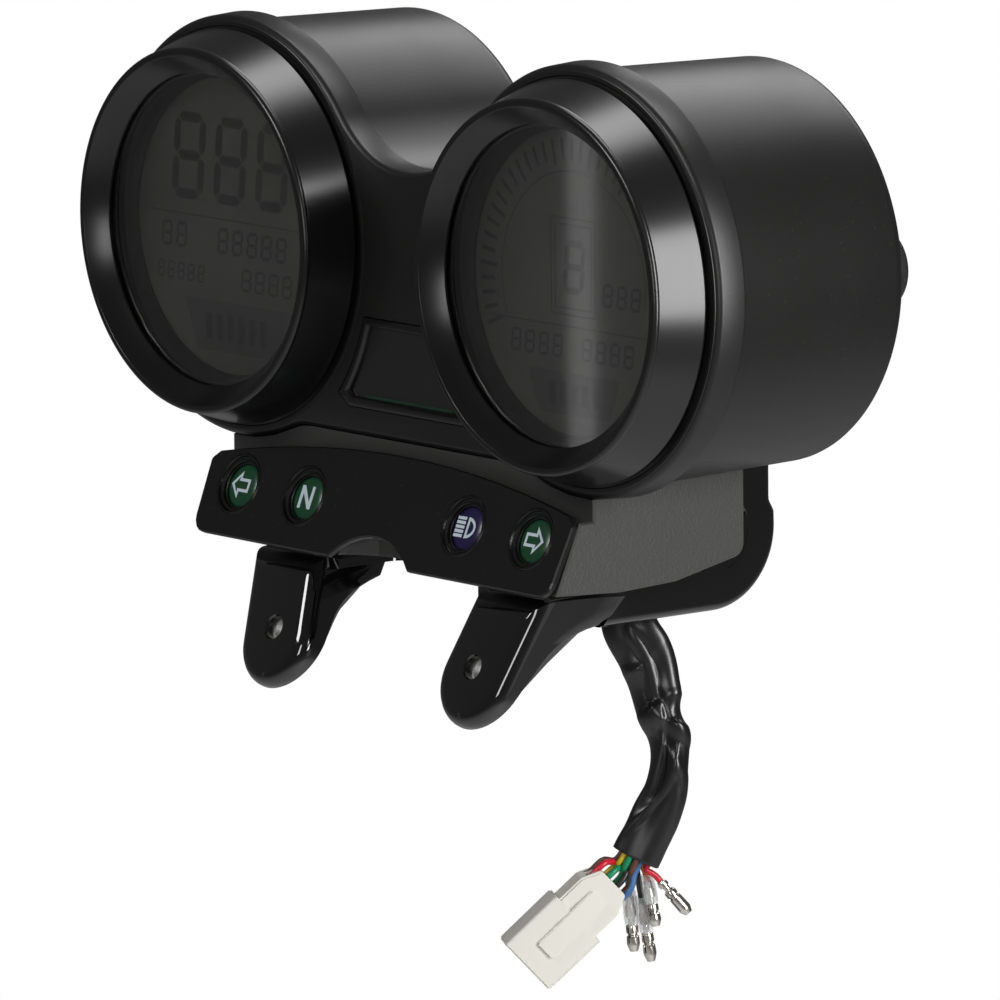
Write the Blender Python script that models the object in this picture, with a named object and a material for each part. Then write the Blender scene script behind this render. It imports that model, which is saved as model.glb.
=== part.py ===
"""Twin-pod motorcycle instrument cluster on its pressed steel bracket.

Metres, +Z up, +X to the rider's right, +Y away from the rider: the dials face -Y.
World origin: midway between the two bracket ear holes, on the ears' front faces.
"""
import bpy
import bmesh
from math import acos, asin, atan2, cos, hypot, pi, radians, sin, sqrt, tan
from mathutils import Matrix, Vector

for old in list(bpy.data.objects):
    bpy.data.objects.remove(old, do_unlink=True)

# ------------------------------------------------------------------ clearances
GAP = 0.0003               # resting or touching faces
FIT = 0.0003               # radial clearance of pieces that drop into a seat

# ------------------------------------------------------------- where things sit
POD_RISE = 0.1024          # pod axes above the ear holes
LIP_SETBACK = 0.0120       # housing lip face behind the ears' front faces
POD_SPACING = 0.1420       # between the two pod axes

# --------------------------------------------------------------------- housing
BORE_R = 0.0500            # pod bore; lip, bezel, dial and window follow it
LIP_WALL = 0.0060
LIP_R = BORE_R + LIP_WALL  # lip ring radius at its front edge
LIP_DEPTH = 0.0087         # lip band, front to back
LIP_BEVEL = 0.0012
LIP_DRAFT = 0.0004
BAND_STEP = 0.0019         # how far the barrel lies below the lip band
BARREL_DRAFT = 0.0013      # radius lost from the band to the rear
HOUSING_DEPTH = 0.0660
REAR_FILLET = 0.0040
SADDLE_R = 0.0340          # concave fillet between the pods, on top
BOTTOM_RISE = 0.0060       # straight lower edge above the pods' lowest line
BOTTOM_FILLET = 0.0200
REAR_WALL = 0.0030
PLATE_T = 0.0030           # front plate between the pods
CENTRE_HALF_W = 0.0260     # hollow behind the front plate
CENTRE_ROOF = 0.0050       # wall over that hollow, under the saddle
CENTRE_FLOOR = 0.0040      # wall under it

# ---------------------------------------------------------------------- bezels
BEZEL_PROUD = 0.0153       # rim in front of the lip face
RIM_IN = 0.0015            # rim radius less than the bore's
RIM_ROUND = 0.0009
CONE_FLARE = 0.0025        # base of the outer cone beyond the bore
CONE_STAND = 0.0016        # shadow gap under the cone
MOUTH_IN = 0.0084          # inner edge of the conical annulus, inside the bore
MOUTH_DROP = 0.0048        # annulus depth behind the rim
ANNULUS_EDGE = 0.0009
SPIGOT_LEN = 0.0060
BEZEL_WALL = 0.0033

# ------------------------------------------------------------ dial stack, front to back
LENS_T = 0.0020
SHROUD_T = 0.0061
SHROUD_IN_FRONT = 0.0090   # dial ring, inside the bore
SHROUD_IN_BACK = 0.0105
LCD_T = 0.0022
LCD_STEP = 0.0010          # dial glass is smaller than the lens by this
BOARD_T = 0.0016

# --------------------------------------------------------------- centre window
WIN_TOP = 0.0186           # below the pod axes
WIN_CHIN = 0.0394
WIN_BOTTOM = 0.0426
WIN_OFF_TOP = 0.0010       # its sides stand off the lip rings, top and chin
WIN_OFF_CHIN = 0.0024
WIN_FOOT_IN = 0.0044       # half width lost from the chin to the foot
WIN_PROUD = 0.0004
WIN_BORDER = 0.0022
WIN_T = 0.0040
PANE_SINK = 0.0010
PANE_T = 0.0016

# ---------------------------------------------------------------- lower casing
CASE_HALF_W = 0.0750
CASE_FRONT = 0.0013        # front strip behind the lip face
CASE_SHOULDER = 0.0618     # shoulder below the pod axes
CASE_BELLY = 0.0812        # lowest line
CASE_BELLY_Y = 0.0164
CASE_FLAT = 0.0125         # flat belly behind that point
CASE_HEEL = 0.0770         # lower rear edge
CASE_DEPTH = 0.0520
CASE_CORNER = 0.0034
CASE_WALL = 0.0025
SWITCH_R = 0.0162          # clearance round the key switch
SWITCH_FWD = 0.0170        # switch axis in front of the lip face
SWITCH_TOP = 0.0690        # roof of that recess, below the pod axes

# ------------------------------------------------------------------ lamp panel
PANEL_TILT = radians(23.5)
PANEL_Y = -0.0056          # panel reference line, from the lip face
PANEL_Z = -0.0615
PANEL_T = 0.0020
PANEL_LAP = 0.0003         # panel beyond the casing at each end
PANEL_HALF_W = CASE_HALF_W + PANEL_LAP
PANEL_TAPER = 0.0012       # narrower at the foot
PANEL_DROP = 0.0204        # foot below the reference line
PANEL_CROWN = 0.0093       # crown above it
PANEL_SHOULDER = 0.0014    # arch height above it at the sides
PANEL_CORNER = 0.0045
PANEL_EDGE = 0.0004
NOTCH_HALF_W = 0.0165
NOTCH_H = 0.0072
LAMP_MARGIN = 0.0145       # turn lamps from the panel's ends
LAMP_PITCH = 0.0276        # from a turn lamp to its neighbour
LAMP_OUTER = PANEL_HALF_W - LAMP_MARGIN
LAMP_INNER = LAMP_OUTER - LAMP_PITCH
LAMP_DROP = 0.0060         # lamp line below the reference line
RING_R = 0.0082
RING_STEP = 0.0008
RING_DEEP = 0.0040
LAMP_R = 0.0058
LAMP_SINK = 0.0016
LAMP_DOME = 0.0005
LAMP_BOARD_AT = 0.0056     # behind the panel face
LAMP_BOARD_HALF = 0.0060   # board's half height, and its reach past the lamps
LED_R = 0.0030

# ------------------------------------------------------------- mounting bracket
EAR_X = 0.0414             # ear holes from the middle
EAR_TILT = radians(22.5)   # ears lean back, parallel to the lamp panel
EAR_SPLAY = radians(13)    # and spread outwards on the way up
EAR_HALF_W = 0.0131
EAR_HOLE_R = 0.0032
EAR_DROP = 0.0026          # centre of the round end below the hole
EAR_BEND = 0.0075          # outer radius of the bend from ear to tray
EAR_DEEP = 0.0080          # flange depth behind the face, at the hole
EAR_RAKE = 0.25            # it deepens up the slope
EAR_FLARE = 0.0100         # and sweeps back where it runs into the tray
EAR_FLARE_RUN = 0.0160
EAR_ROUND = 0.0038         # pressed edge radius
STEEL_T = 0.0025
TRAY_DROP = 0.0030         # tray below the casing's belly, on two feet
TRAY_FRONT = 0.0002        # behind the lip face
TRAY_BACK = 0.0400
TRAY_WIDE = 0.0596         # half width at the ears
TRAY_HALF_W = 0.0552       # and behind them
TRAY_GAP_HALF = 0.0290     # opening in the tray between the ears
TRAY_GAP_BACK = 0.0220
TRAY_CORNER = 0.0045
FOOT_R = 0.0052            # casing feet
ARM_OUT = 0.0565           # arm's outer face from the middle
ARM_FLANGE = 0.0090        # arm's lower and rear flange
ARM_W = 0.0108             # arm's web height
ARM_BEND = 0.0024          # outer radius of its pressed edge
ARM_START = -0.0010
ARM_BLEND = 0.0280         # behind the ear the arm is upright from here
ARM_STAND = 0.0130         # arm's rear face behind the housing
ARM_CORNER = 0.0210
ARM_LOW = 0.0939           # arm's lower face below the pod axes
ARM_JOG = 0.0018           # set-in of the leg above the casing
ARM_JOG_AT = 0.0680
FOOT_UP = 0.0440           # arm foot screw below the pod axes
FOOT_X = 0.0450
FOOT_HALF_W = 0.0080
NUT_AF = 0.0100
NUT_H = 0.0050
NUT_BORE_R = 0.0025

# ----------------------------------------------------------- fasteners and rear
SCREW_HEAD_R = 0.0036
SCREW_HEAD_H = 0.0024
SCREW_SHANK_R = 0.0015
SCREW_LEN = 0.0075
REAR_SCREW_IN = 0.0100     # circle of the case screws, inside the bore
DAMPER_IN = 0.0295         # damper axis inside the right pod's outer edge
DAMPER_DROP = 0.0010
DAMPER_R = 0.0109
DAMPER_T = 0.0060
DAMPER_NECK_R = 0.0078
DAMPER_STAND = 0.0080      # neck between the rear wall and the damper

# --------------------------------------------------------------------- harness
GROMMET_X = 0.0060
GROMMET_DROP = 0.0660
GROMMET_R = 0.0078
GROMMET_FLANGE = 0.0016
GROMMET_ROOM = 0.0040      # depth of the port behind the grommet
GROMMET_NECK = 0.0026      # collar outside the casing
SLEEVE_R = 0.0052
WIRE_R = 0.00085
BUNDLE_R = 0.0021
BULLET_R = 0.00175
PLUG_L = 0.0320
PLUG_W = 0.0170
PLUG_H = 0.0140

# ---------------------------------------------------------------------- counts
ROUND = 40                 # sides of the large circles
MID = 24
SMALL = 16

# derived places
BOTTOM_DROP = LIP_R - BOTTOM_RISE
SADDLE_Z = sqrt((LIP_R + SADDLE_R) ** 2 - (POD_SPACING / 2) ** 2)
CENTRE_TOP = SADDLE_Z - SADDLE_R - BAND_STEP - BARREL_DRAFT - CENTRE_ROOF
REAR_Y = HOUSING_DEPTH
DAMPER_X = POD_SPACING / 2 + LIP_R - DAMPER_IN
RIM_Y = -BEZEL_PROUD
RIM_R = BORE_R - RIM_IN
CONE_R = BORE_R + CONE_FLARE
MOUTH_R = BORE_R - MOUTH_IN
SHROUD_R_FRONT = BORE_R - SHROUD_IN_FRONT
SHROUD_R_BACK = BORE_R - SHROUD_IN_BACK
REAR_SCREW_R = BORE_R - REAR_SCREW_IN
LENS_R = BORE_R - FIT - BEZEL_WALL - FIT
LENS_Y = RIM_Y + MOUTH_DROP + ANNULUS_EDGE + GAP
SHROUD_Y = LENS_Y + LENS_T + GAP
LCD_Y = SHROUD_Y + SHROUD_T + GAP
LIGHT_Y = LCD_Y + LCD_T + GAP
BOARD_Y = SPIGOT_LEN + GAP
TRAY_TOP = -(CASE_BELLY + TRAY_DROP)
ARM_BACK = HOUSING_DEPTH + ARM_STAND
FOOT_Y = ARM_BACK - ARM_JOG - STEEL_T
EAR_Y = -LIP_SETBACK       # front face of the ears, from the lip face
HOLE_Z = -POD_RISE
# height of the bend's centre up the ear, so that the bend ends level with the tray
BEND_Z = ((TRAY_TOP - 0.0002 - HOLE_Z + EAR_BEND * (1 - sin(EAR_TILT)) * sin(EAR_TILT))
          / cos(EAR_TILT) - EAR_BEND * cos(EAR_TILT))


# ============================================================== scene scaffolding
def material(name, colour, rough, metal=0.0, alpha=1.0):
    """A Principled material in the piece's own colour."""
    mat = bpy.data.materials.new(name)
    mat.use_nodes = True
    shader = mat.node_tree.nodes["Principled BSDF"]
    shader.inputs["Base Color"].default_value = (*colour, 1.0)
    shader.inputs["Roughness"].default_value = rough
    shader.inputs["Metallic"].default_value = metal
    shader.inputs["Alpha"].default_value = alpha
    return mat


def empty(name, at, parent=None, turn=0.0):
    frame = bpy.data.objects.new(name, None)
    frame.empty_display_size = 0.01
    frame.location = at
    frame.rotation_euler = (turn, 0.0, 0.0)
    frame.parent = parent
    bpy.context.collection.objects.link(frame)
    return frame


CLUSTER = empty("cluster_frame", (0.0, LIP_SETBACK, POD_RISE))
PODS = {
    "left": empty("left_pod_axis", (-POD_SPACING / 2, 0.0, 0.0), CLUSTER),
    "right": empty("right_pod_axis", (POD_SPACING / 2, 0.0, 0.0), CLUSTER),
}
PANEL = empty("lamp_panel_plane", (0.0, PANEL_Y, PANEL_Z), CLUSTER, -PANEL_TILT)
EARS = {
    "left": empty("left_ear_hole", (-EAR_X, EAR_Y, HOLE_Z), CLUSTER, -EAR_TILT),
    "right": empty("right_ear_hole", (EAR_X, EAR_Y, HOLE_Z), CLUSTER, -EAR_TILT),
}


def finish(name, bm, mat, parent, at=(0, 0, 0), smooth=35.0, guide=False):
    """Turn a bmesh into a named object; guides are left out of the model."""
    bmesh.ops.remove_doubles(bm, verts=bm.verts, dist=1e-7)
    bmesh.ops.recalc_face_normals(bm, faces=bm.faces)
    mesh = bpy.data.meshes.new(name)
    bm.to_mesh(mesh)
    bm.free()
    if smooth:
        mesh.shade_smooth()
        mesh.set_sharp_from_angle(angle=radians(smooth))
    if mat is not None:
        mesh.materials.append(mat)
    obj = bpy.data.objects.new(name, mesh)
    obj.parent = parent
    obj.location = at
    bpy.context.collection.objects.link(obj)
    if guide:
        obj.hide_render = True
        obj.display_type = "WIRE"
    return obj


def combine(target, tool, operation):
    """A live Boolean; the tool object becomes a guide."""
    tool.hide_render = True
    tool.display_type = "WIRE"
    step = target.modifiers.new(operation.lower(), "BOOLEAN")
    step.operation = operation
    step.solver = "EXACT"
    step.object = tool
    return target


def cut(target, *tools):
    for tool in tools:
        combine(target, tool, "DIFFERENCE")
    return target


def join(target, *tools):
    for tool in tools:
        combine(target, tool, "UNION")
    return target


# ================================================================ shape makers
def turned(profile, steps=ROUND):
    """Spin a closed (radius, y) profile about the Y axis."""
    bm = bmesh.new()
    verts = [bm.verts.new((r, y, 0.0)) for r, y in profile]
    edges = [bm.edges.new((a, b)) for a, b in zip(verts, verts[1:])]
    if profile[0][0] > 1e-9 or profile[-1][0] > 1e-9:
        edges.append(bm.edges.new((verts[-1], verts[0])))
    bmesh.ops.spin(bm, geom=verts + edges, cent=(0, 0, 0), axis=(0, 1, 0),
                   dvec=(0, 0, 0), angle=2 * pi, steps=steps, use_merge=True)
    bmesh.ops.remove_doubles(bm, verts=bm.verts, dist=1e-7)
    return bm


def lofted(rings):
    """Skin rings of equal counts and cap both ends."""
    bm = bmesh.new()
    rows = [[bm.verts.new(p) for p in ring] for ring in rings]
    for low, high in zip(rows, rows[1:]):
        for i in range(len(low)):
            j = (i + 1) % len(low)
            bm.faces.new((low[i], low[j], high[j], high[i]))
    bm.faces.new(rows[0])
    bm.faces.new(rows[-1])
    return bm


def prism(outline, start, end, axis="Y", edge=0.0):
    """Extrude a flat outline along an axis, with small bevels on the end rims."""
    place = {
        "Y": lambda a, b, d: (a, d, b),
        "X": lambda a, b, d: (d, a, b),
        "Z": lambda a, b, d: (a, b, d),
    }[axis]
    bm = bmesh.new()
    base = bm.faces.new([bm.verts.new(place(a, b, start)) for a, b in outline])
    grown = bmesh.ops.extrude_face_region(bm, geom=[base])
    shift = Vector(place(0.0, 0.0, end - start))
    moved = [g for g in grown["geom"] if isinstance(g, bmesh.types.BMVert)]
    bmesh.ops.translate(bm, vec=shift, verts=moved)
    bm.normal_update()
    if edge:
        tops = [f for f in bm.faces if len(f.verts) == len(outline)]
        rims = list({e for f in tops for e in f.edges})
        bmesh.ops.bevel(bm, geom=rims, offset=edge, segments=1, affect="EDGES",
                        clamp_overlap=True)
    return bm


def arc(cx, cy, r, start, end, steps):
    """Points on an arc, both ends included."""
    return [
        (cx + r * cos(start + (end - start) * i / steps),
         cy + r * sin(start + (end - start) * i / steps))
        for i in range(steps + 1)
    ]


def rounded(corners, steps=4):
    """Round each (x, y, radius) corner of a polygon with a tangent arc."""
    out = []
    count = len(corners)
    for i, (x, y, r) in enumerate(corners):
        here = Vector((x, y))
        if r <= 0:
            out.append((x, y))
            continue
        back = (Vector(corners[i - 1][:2]) - here).normalized()
        ahead = (Vector(corners[(i + 1) % count][:2]) - here).normalized()
        half = acos(max(-1.0, min(1.0, back.dot(ahead)))) / 2
        centre = here + (back + ahead).normalized() * (r / sin(half))
        first = here + back * (r / tan(half)) - centre
        last = here + ahead * (r / tan(half)) - centre
        a0 = atan2(first.y, first.x)
        turn = atan2(first.x * last.y - first.y * last.x, first.dot(last))
        out += arc(centre.x, centre.y, r, a0, a0 + turn, steps)
    return out


def cylinder(r, start, end, steps=SMALL, axis="Y"):
    return prism(arc(0.0, 0.0, r, 0.0, 2 * pi, steps)[:-1], start, end, axis)


# ===================================================================== materials
HOUSING_BLACK = material("housing_black", (0.030, 0.030, 0.029), 0.55)
PIANO_BLACK = material("piano_black", (0.006, 0.006, 0.006), 0.07)
CASE_BLACK = material("case_black", (0.034, 0.034, 0.033), 0.62)
PANEL_BLACK = material("panel_black", (0.013, 0.014, 0.013), 0.42)
CLEAR = material("clear_lens", (0.75, 0.78, 0.78), 0.03, alpha=0.25)
DIAL = material("dial_glass", (0.035, 0.036, 0.034), 0.20)
SMOKE = material("smoked_pane", (0.015, 0.017, 0.016), 0.12)
SHROUD = material("shroud_black", (0.020, 0.020, 0.020), 0.50)
DIFFUSER = material("white_diffuser", (0.80, 0.80, 0.78), 0.50)
BOARD = material("board_green", (0.02, 0.14, 0.05), 0.45)
GREEN_LENS = material("green_lens", (0.010, 0.075, 0.030), 0.22)
BLUE_LENS = material("blue_lens", (0.018, 0.012, 0.075), 0.22)
STEEL_BLACK = material("steel_black", (0.008, 0.009, 0.008), 0.14)
ZINC = material("zinc_steel", (0.62, 0.62, 0.60), 0.32, 1.0)
RUBBER = material("rubber_black", (0.020, 0.020, 0.020), 0.65)
VINYL = material("vinyl_black", (0.022, 0.021, 0.020), 0.38)
NYLON = material("natural_nylon", (0.74, 0.72, 0.66), 0.48)
TIN = material("tinned_brass", (0.72, 0.70, 0.66), 0.22, 1.0)
WIRE_RED = material("wire_red", (0.55, 0.02, 0.03), 0.40)
WIRE_BLUE = material("wire_blue", (0.06, 0.16, 0.34), 0.40)
WIRE_ORANGE = material("wire_orange", (0.75, 0.20, 0.05), 0.40)
WIRE_BLACK = material("wire_black", (0.020, 0.020, 0.020), 0.40)


# ======================================================================= housing
def peanut(inset):
    """Outline of the two pods and the saddle, in X and Z, pulled in by inset."""
    half = POD_SPACING / 2
    r = LIP_R - inset
    top_z = SADDLE_Z
    low_z = -(BOTTOM_DROP + BOTTOM_FILLET)
    low_x = half - sqrt((LIP_R + BOTTOM_FILLET) ** 2 - low_z ** 2)
    to_top = atan2(top_z, -half)
    to_low = atan2(low_z, low_x - half)
    right = arc(half, 0.0, r, to_low, to_top, ROUND * 3 // 4)
    saddle = arc(0.0, top_z, SADDLE_R + inset, to_top - pi, -pi / 2, 7)
    fillet = arc(low_x, low_z, BOTTOM_FILLET + inset, pi / 2, to_low + pi, 4)
    one = right + saddle[1:-1]
    left_top = [(-x, z) for x, z in reversed(one)]
    middle = [(0.0, top_z - SADDLE_R - inset)]
    low_right = [(x, z) for x, z in fillet[:-1]]
    low_left = [(-x, z) for x, z in reversed(low_right)]
    return one + middle + left_top + low_left + low_right


def barrel_sections():
    """(depth, inset) of each ring, from the lip face to the rear wall."""
    body = BAND_STEP
    tail = body + BARREL_DRAFT
    turn = HOUSING_DEPTH - REAR_FILLET
    rings = [
        (0.0, LIP_BEVEL),
        (LIP_BEVEL, 0.0),
        (LIP_DEPTH, -LIP_DRAFT),
        (LIP_DEPTH + GAP, body),
        (turn, tail),
    ]
    for i in range(1, 4):
        a = pi / 2 * i / 3
        rings.append((turn + REAR_FILLET * sin(a), tail + REAR_FILLET * (1 - cos(a))))
    return rings


def make_housing():
    """Moulded housing: lip band, barrels, saddle and front plate in one shell."""
    rings = [[(x, y, z) for x, z in peanut(inset)] for y, inset in barrel_sections()]
    housing = finish("housing", lofted(rings), HOUSING_BLACK, CLUSTER)
    boss = finish("damper_neck", cylinder(DAMPER_NECK_R, REAR_Y - GAP, REAR_Y + DAMPER_STAND),
                  None, CLUSTER, (DAMPER_X, 0.0, -DAMPER_DROP), guide=True)
    foot = finish("foot_boss", cylinder(FOOT_HALF_W - GAP, REAR_Y - GAP,
                                        FOOT_Y - GAP), None, CLUSTER,
                  (FOOT_X, 0.0, -FOOT_UP), guide=True)
    join(housing, boss, foot)
    inner = HOUSING_DEPTH - REAR_WALL
    tools = []
    for side in (-1, 1):
        tools.append(finish(f"bore_{side}", cylinder(BORE_R, -0.01, inner, ROUND), None,
                            CLUSTER, (side * POD_SPACING / 2, 0, 0), guide=True))
    floor = -BOTTOM_DROP + BAND_STEP + BARREL_DRAFT + CENTRE_FLOOR
    hollow = [(-CENTRE_HALF_W, floor), (CENTRE_HALF_W, floor),
              (CENTRE_HALF_W, CENTRE_TOP), (-CENTRE_HALF_W, CENTRE_TOP)]
    tools.append(finish("centre_hollow", prism(hollow, PLATE_T, inner), None, CLUSTER,
                        guide=True))
    tools.append(finish("window_hole", prism(window(-FIT), -0.01, PLATE_T + 0.002), None,
                        CLUSTER, guide=True))
    tools.append(screw_hole("damper_pilot", DAMPER_X, -DAMPER_DROP,
                            REAR_Y + DAMPER_STAND - SCREW_LEN, REAR_Y + 0.03))
    tools.append(screw_hole("foot_pilot", FOOT_X, -FOOT_UP,
                            FOOT_Y - SCREW_LEN, REAR_Y + 0.03))
    for n, (x, z) in enumerate(case_screw_spots()):
        tools.append(screw_hole(f"case_pilot_{n}", x, z, inner - 0.005, REAR_Y + 0.01))
    return cut(housing, *tools)


def screw_hole(name, x, z, start, end):
    return finish(name, cylinder(SCREW_SHANK_R + FIT, start, end, 12), None, CLUSTER,
                  (x, 0.0, z), guide=True)


def case_screw_spots():
    """Three case screws on the rear of each pod."""
    spots = []
    for side in (-1, 1):
        for turn in (90.0, 210.0, 330.0):
            a = radians(turn)
            spots.append((side * (POD_SPACING / 2 + REAR_SCREW_R * cos(a)),
                          REAR_SCREW_R * sin(a)))
    return spots


# ================================================================= centre window
def window(inset):
    """Trapezoid with sides that follow the bezels' circles."""
    half = POD_SPACING / 2
    top = -WIN_TOP - inset
    chin = -WIN_CHIN + inset * 0.4
    r_top = LIP_R + WIN_OFF_TOP + inset
    r_chin = LIP_R + WIN_OFF_CHIN + inset
    half_foot = half - sqrt((LIP_R + WIN_OFF_CHIN) ** 2 - WIN_CHIN ** 2) - WIN_FOOT_IN
    a_top = asin(top / r_top)
    a_chin = asin(chin / r_chin)
    side = []
    for i in range(7):
        t = i / 6
        r = r_top + (r_chin - r_top) * t
        a = a_top + (a_chin - a_top) * t
        side.append((-half + r * cos(a), r * sin(a)))
    foot = (-(half_foot - inset * 0.5), -WIN_BOTTOM + inset)
    left = side + [foot]
    right = [(-x, z) for x, z in reversed(left)]
    return left + right


def make_window():
    """Border, smoked pane and the plate that lights it."""
    frame = finish("window_frame", prism(window(0.0), -WIN_PROUD, WIN_T, edge=0.0003),
                   PIANO_BLACK, CLUSTER)
    light = finish("window_light", prism(window(WIN_BORDER), -0.01, 0.01), None, CLUSTER,
                   guide=True)
    pocket = finish("pane_pocket", prism(window(WIN_BORDER / 2), PANE_SINK, 0.01), None,
                    CLUSTER, guide=True)
    cut(frame, light, pocket)
    inset = WIN_BORDER / 2 + FIT
    start = PANE_SINK + GAP
    finish("window_pane", prism(window(inset), start, start + PANE_T), SMOKE, CLUSTER)
    back = start + PANE_T + GAP
    finish("window_backplate", prism(window(inset), back, back + BOARD_T), BOARD, CLUSTER)


# ==================================================================== dial pods
def bezel_profile():
    """Gloss bezel: outer cone, rolled rim, conical annulus, lens seat, spigot."""
    spigot = BORE_R - FIT
    inner = spigot - BEZEL_WALL
    rim = RIM_ROUND
    mouth_y = RIM_Y + MOUTH_DROP
    rolled = arc(RIM_R - rim * 0.2, RIM_Y + rim, rim, radians(20), radians(-180), 4)
    return [
        (spigot, SPIGOT_LEN),
        (spigot, -GAP),
        (CONE_R - CONE_STAND, -GAP),
        (CONE_R - CONE_STAND, -CONE_STAND),
        (CONE_R, -CONE_STAND),
        *rolled,
        (MOUTH_R, mouth_y),
        (MOUTH_R, mouth_y + ANNULUS_EDGE),
        (inner, mouth_y + ANNULUS_EDGE),
        (inner, SPIGOT_LEN),
    ]


def make_pod(side):
    """Everything inside one pod, in the order it is assembled."""
    pod = PODS[side]
    dial_r = LENS_R - LCD_STEP
    finish(f"bezel_{side}", turned(bezel_profile()), PIANO_BLACK, pod, smooth=28.0)
    finish(f"lens_{side}", cylinder(LENS_R, LENS_Y, LENS_Y + LENS_T, ROUND), CLEAR, pod)
    finish(f"shroud_{side}", turned([
        (SHROUD_R_FRONT, SHROUD_Y),
        (LENS_R, SHROUD_Y),
        (LENS_R, SHROUD_Y + SHROUD_T),
        (SHROUD_R_BACK, SHROUD_Y + SHROUD_T),
    ]), SHROUD, pod)
    finish(f"lcd_{side}", cylinder(dial_r, LCD_Y, LCD_Y + LCD_T, MID), DIAL, pod)
    light_t = BOARD_Y - GAP - LIGHT_Y
    finish(f"backlight_{side}", cylinder(dial_r, LIGHT_Y, LIGHT_Y + light_t, MID),
           DIFFUSER, pod)
    finish(f"board_{side}", cylinder(BORE_R - 2 * FIT, BOARD_Y, BOARD_Y + BOARD_T, MID),
           BOARD, pod)


# ================================================================== lower casing
def panel_back(depth, slope):
    """(y, z) of a point behind the lamp panel face, slope measured downwards."""
    return (PANEL_Y + depth * cos(PANEL_TILT) - slope * sin(PANEL_TILT),
            PANEL_Z - depth * sin(PANEL_TILT) - slope * cos(PANEL_TILT))


def case_side():
    """Side view of the lower casing, y and z."""
    seat = PANEL_T + GAP
    top = -(BOTTOM_DROP - 0.010)
    run = (-CASE_SHOULDER - PANEL_Z + seat * sin(PANEL_TILT)) / -cos(PANEL_TILT)
    shoulder = panel_back(seat, run)
    toe = panel_back(seat, PANEL_DROP - 0.0012)
    return rounded([
        (CASE_FRONT, top, 0.0),
        (CASE_DEPTH, top, 0.0),
        (CASE_DEPTH, -CASE_HEEL + CASE_CORNER * 0.4, CASE_CORNER),
        (CASE_BELLY_Y + CASE_FLAT, -(CASE_BELLY - 0.0008), 0.004),
        (CASE_BELLY_Y - 0.006, -CASE_BELLY, 0.004),
        (toe[0], toe[1], 0.0),
        (shoulder[0], shoulder[1], 0.0),
        (CASE_FRONT, -CASE_SHOULDER, 0.0),
    ], 3)


def make_lower_case():
    """Box under the pods that carries the lamps, with the key-switch recess."""
    case = finish("lower_case", prism(case_side(), -CASE_HALF_W, CASE_HALF_W, "X", 0.0005),
                  CASE_BLACK, CLUSTER)
    sections = [(y if y else -0.02, inset - GAP) for y, inset in barrel_sections()]
    sections[-1] = (HOUSING_DEPTH + 0.01, sections[-2][1])
    saddle = finish("housing_room",
                    lofted([[(x, y, z) for x, z in peanut(inset)] for y, inset in sections]),
                    None, CLUSTER, guide=True)
    ledge = LAMP_BOARD_AT + BOARD_T + GAP
    for side in (-1, 1):
        foot = cylinder(FOOT_R, TRAY_TOP + GAP, -CASE_BELLY + 0.004, SMALL, "Z")
        join(case, finish(f"foot_{side}", foot, None, CLUSTER,
                          (side * EAR_X, tray_screw_y(), 0.0), guide=True))
        shape = board_outline(side, FIT)
        pocket = finish(f"lamp_pocket_{side}", prism(shape, -0.004, ledge), None, PANEL,
                        guide=True)
        pilot = cylinder(SCREW_SHANK_R + FIT, TRAY_TOP - 0.01, -CASE_BELLY + 0.008, 12, "Z")
        cut(case, pocket, finish(f"tray_pilot_{side}", pilot, None, CLUSTER,
                                 (side * EAR_X, tray_screw_y(), 0.0), guide=True))
    for name, x in lamp_spots().items():
        cut(case, finish(f"lamp_well_{name}", cylinder(RING_R + RING_STEP + FIT, -0.004, ledge),
                         None, PANEL, (x, 0.0, -LAMP_DROP), guide=True))
    recess = finish("switch_recess", cylinder(SWITCH_R, -0.12, -SWITCH_TOP, MID, "Z"), None,
                    CLUSTER, (0.0, -SWITCH_FWD, 0.0), guide=True)
    port = finish("harness_port", cylinder(GROMMET_R - GROMMET_FLANGE + FIT,
                                           CASE_DEPTH - CASE_WALL - GROMMET_ROOM,
                                           CASE_DEPTH + 0.01), None, CLUSTER,
                  (GROMMET_X, 0.0, -GROMMET_DROP), guide=True)
    return cut(case, saddle, recess, port)


def tray_screw_y():
    return CASE_BELLY_Y - 0.002


def board_outline(side, grow):
    """Lamp board behind one pair of lamps, in X and up-slope Z."""
    half = LAMP_BOARD_HALF + grow
    near, far = LAMP_INNER - half, LAMP_OUTER + half
    return [(side * near, -LAMP_DROP - half), (side * far, -LAMP_DROP - half),
            (side * far, -LAMP_DROP + half), (side * near, -LAMP_DROP + half)]


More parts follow.
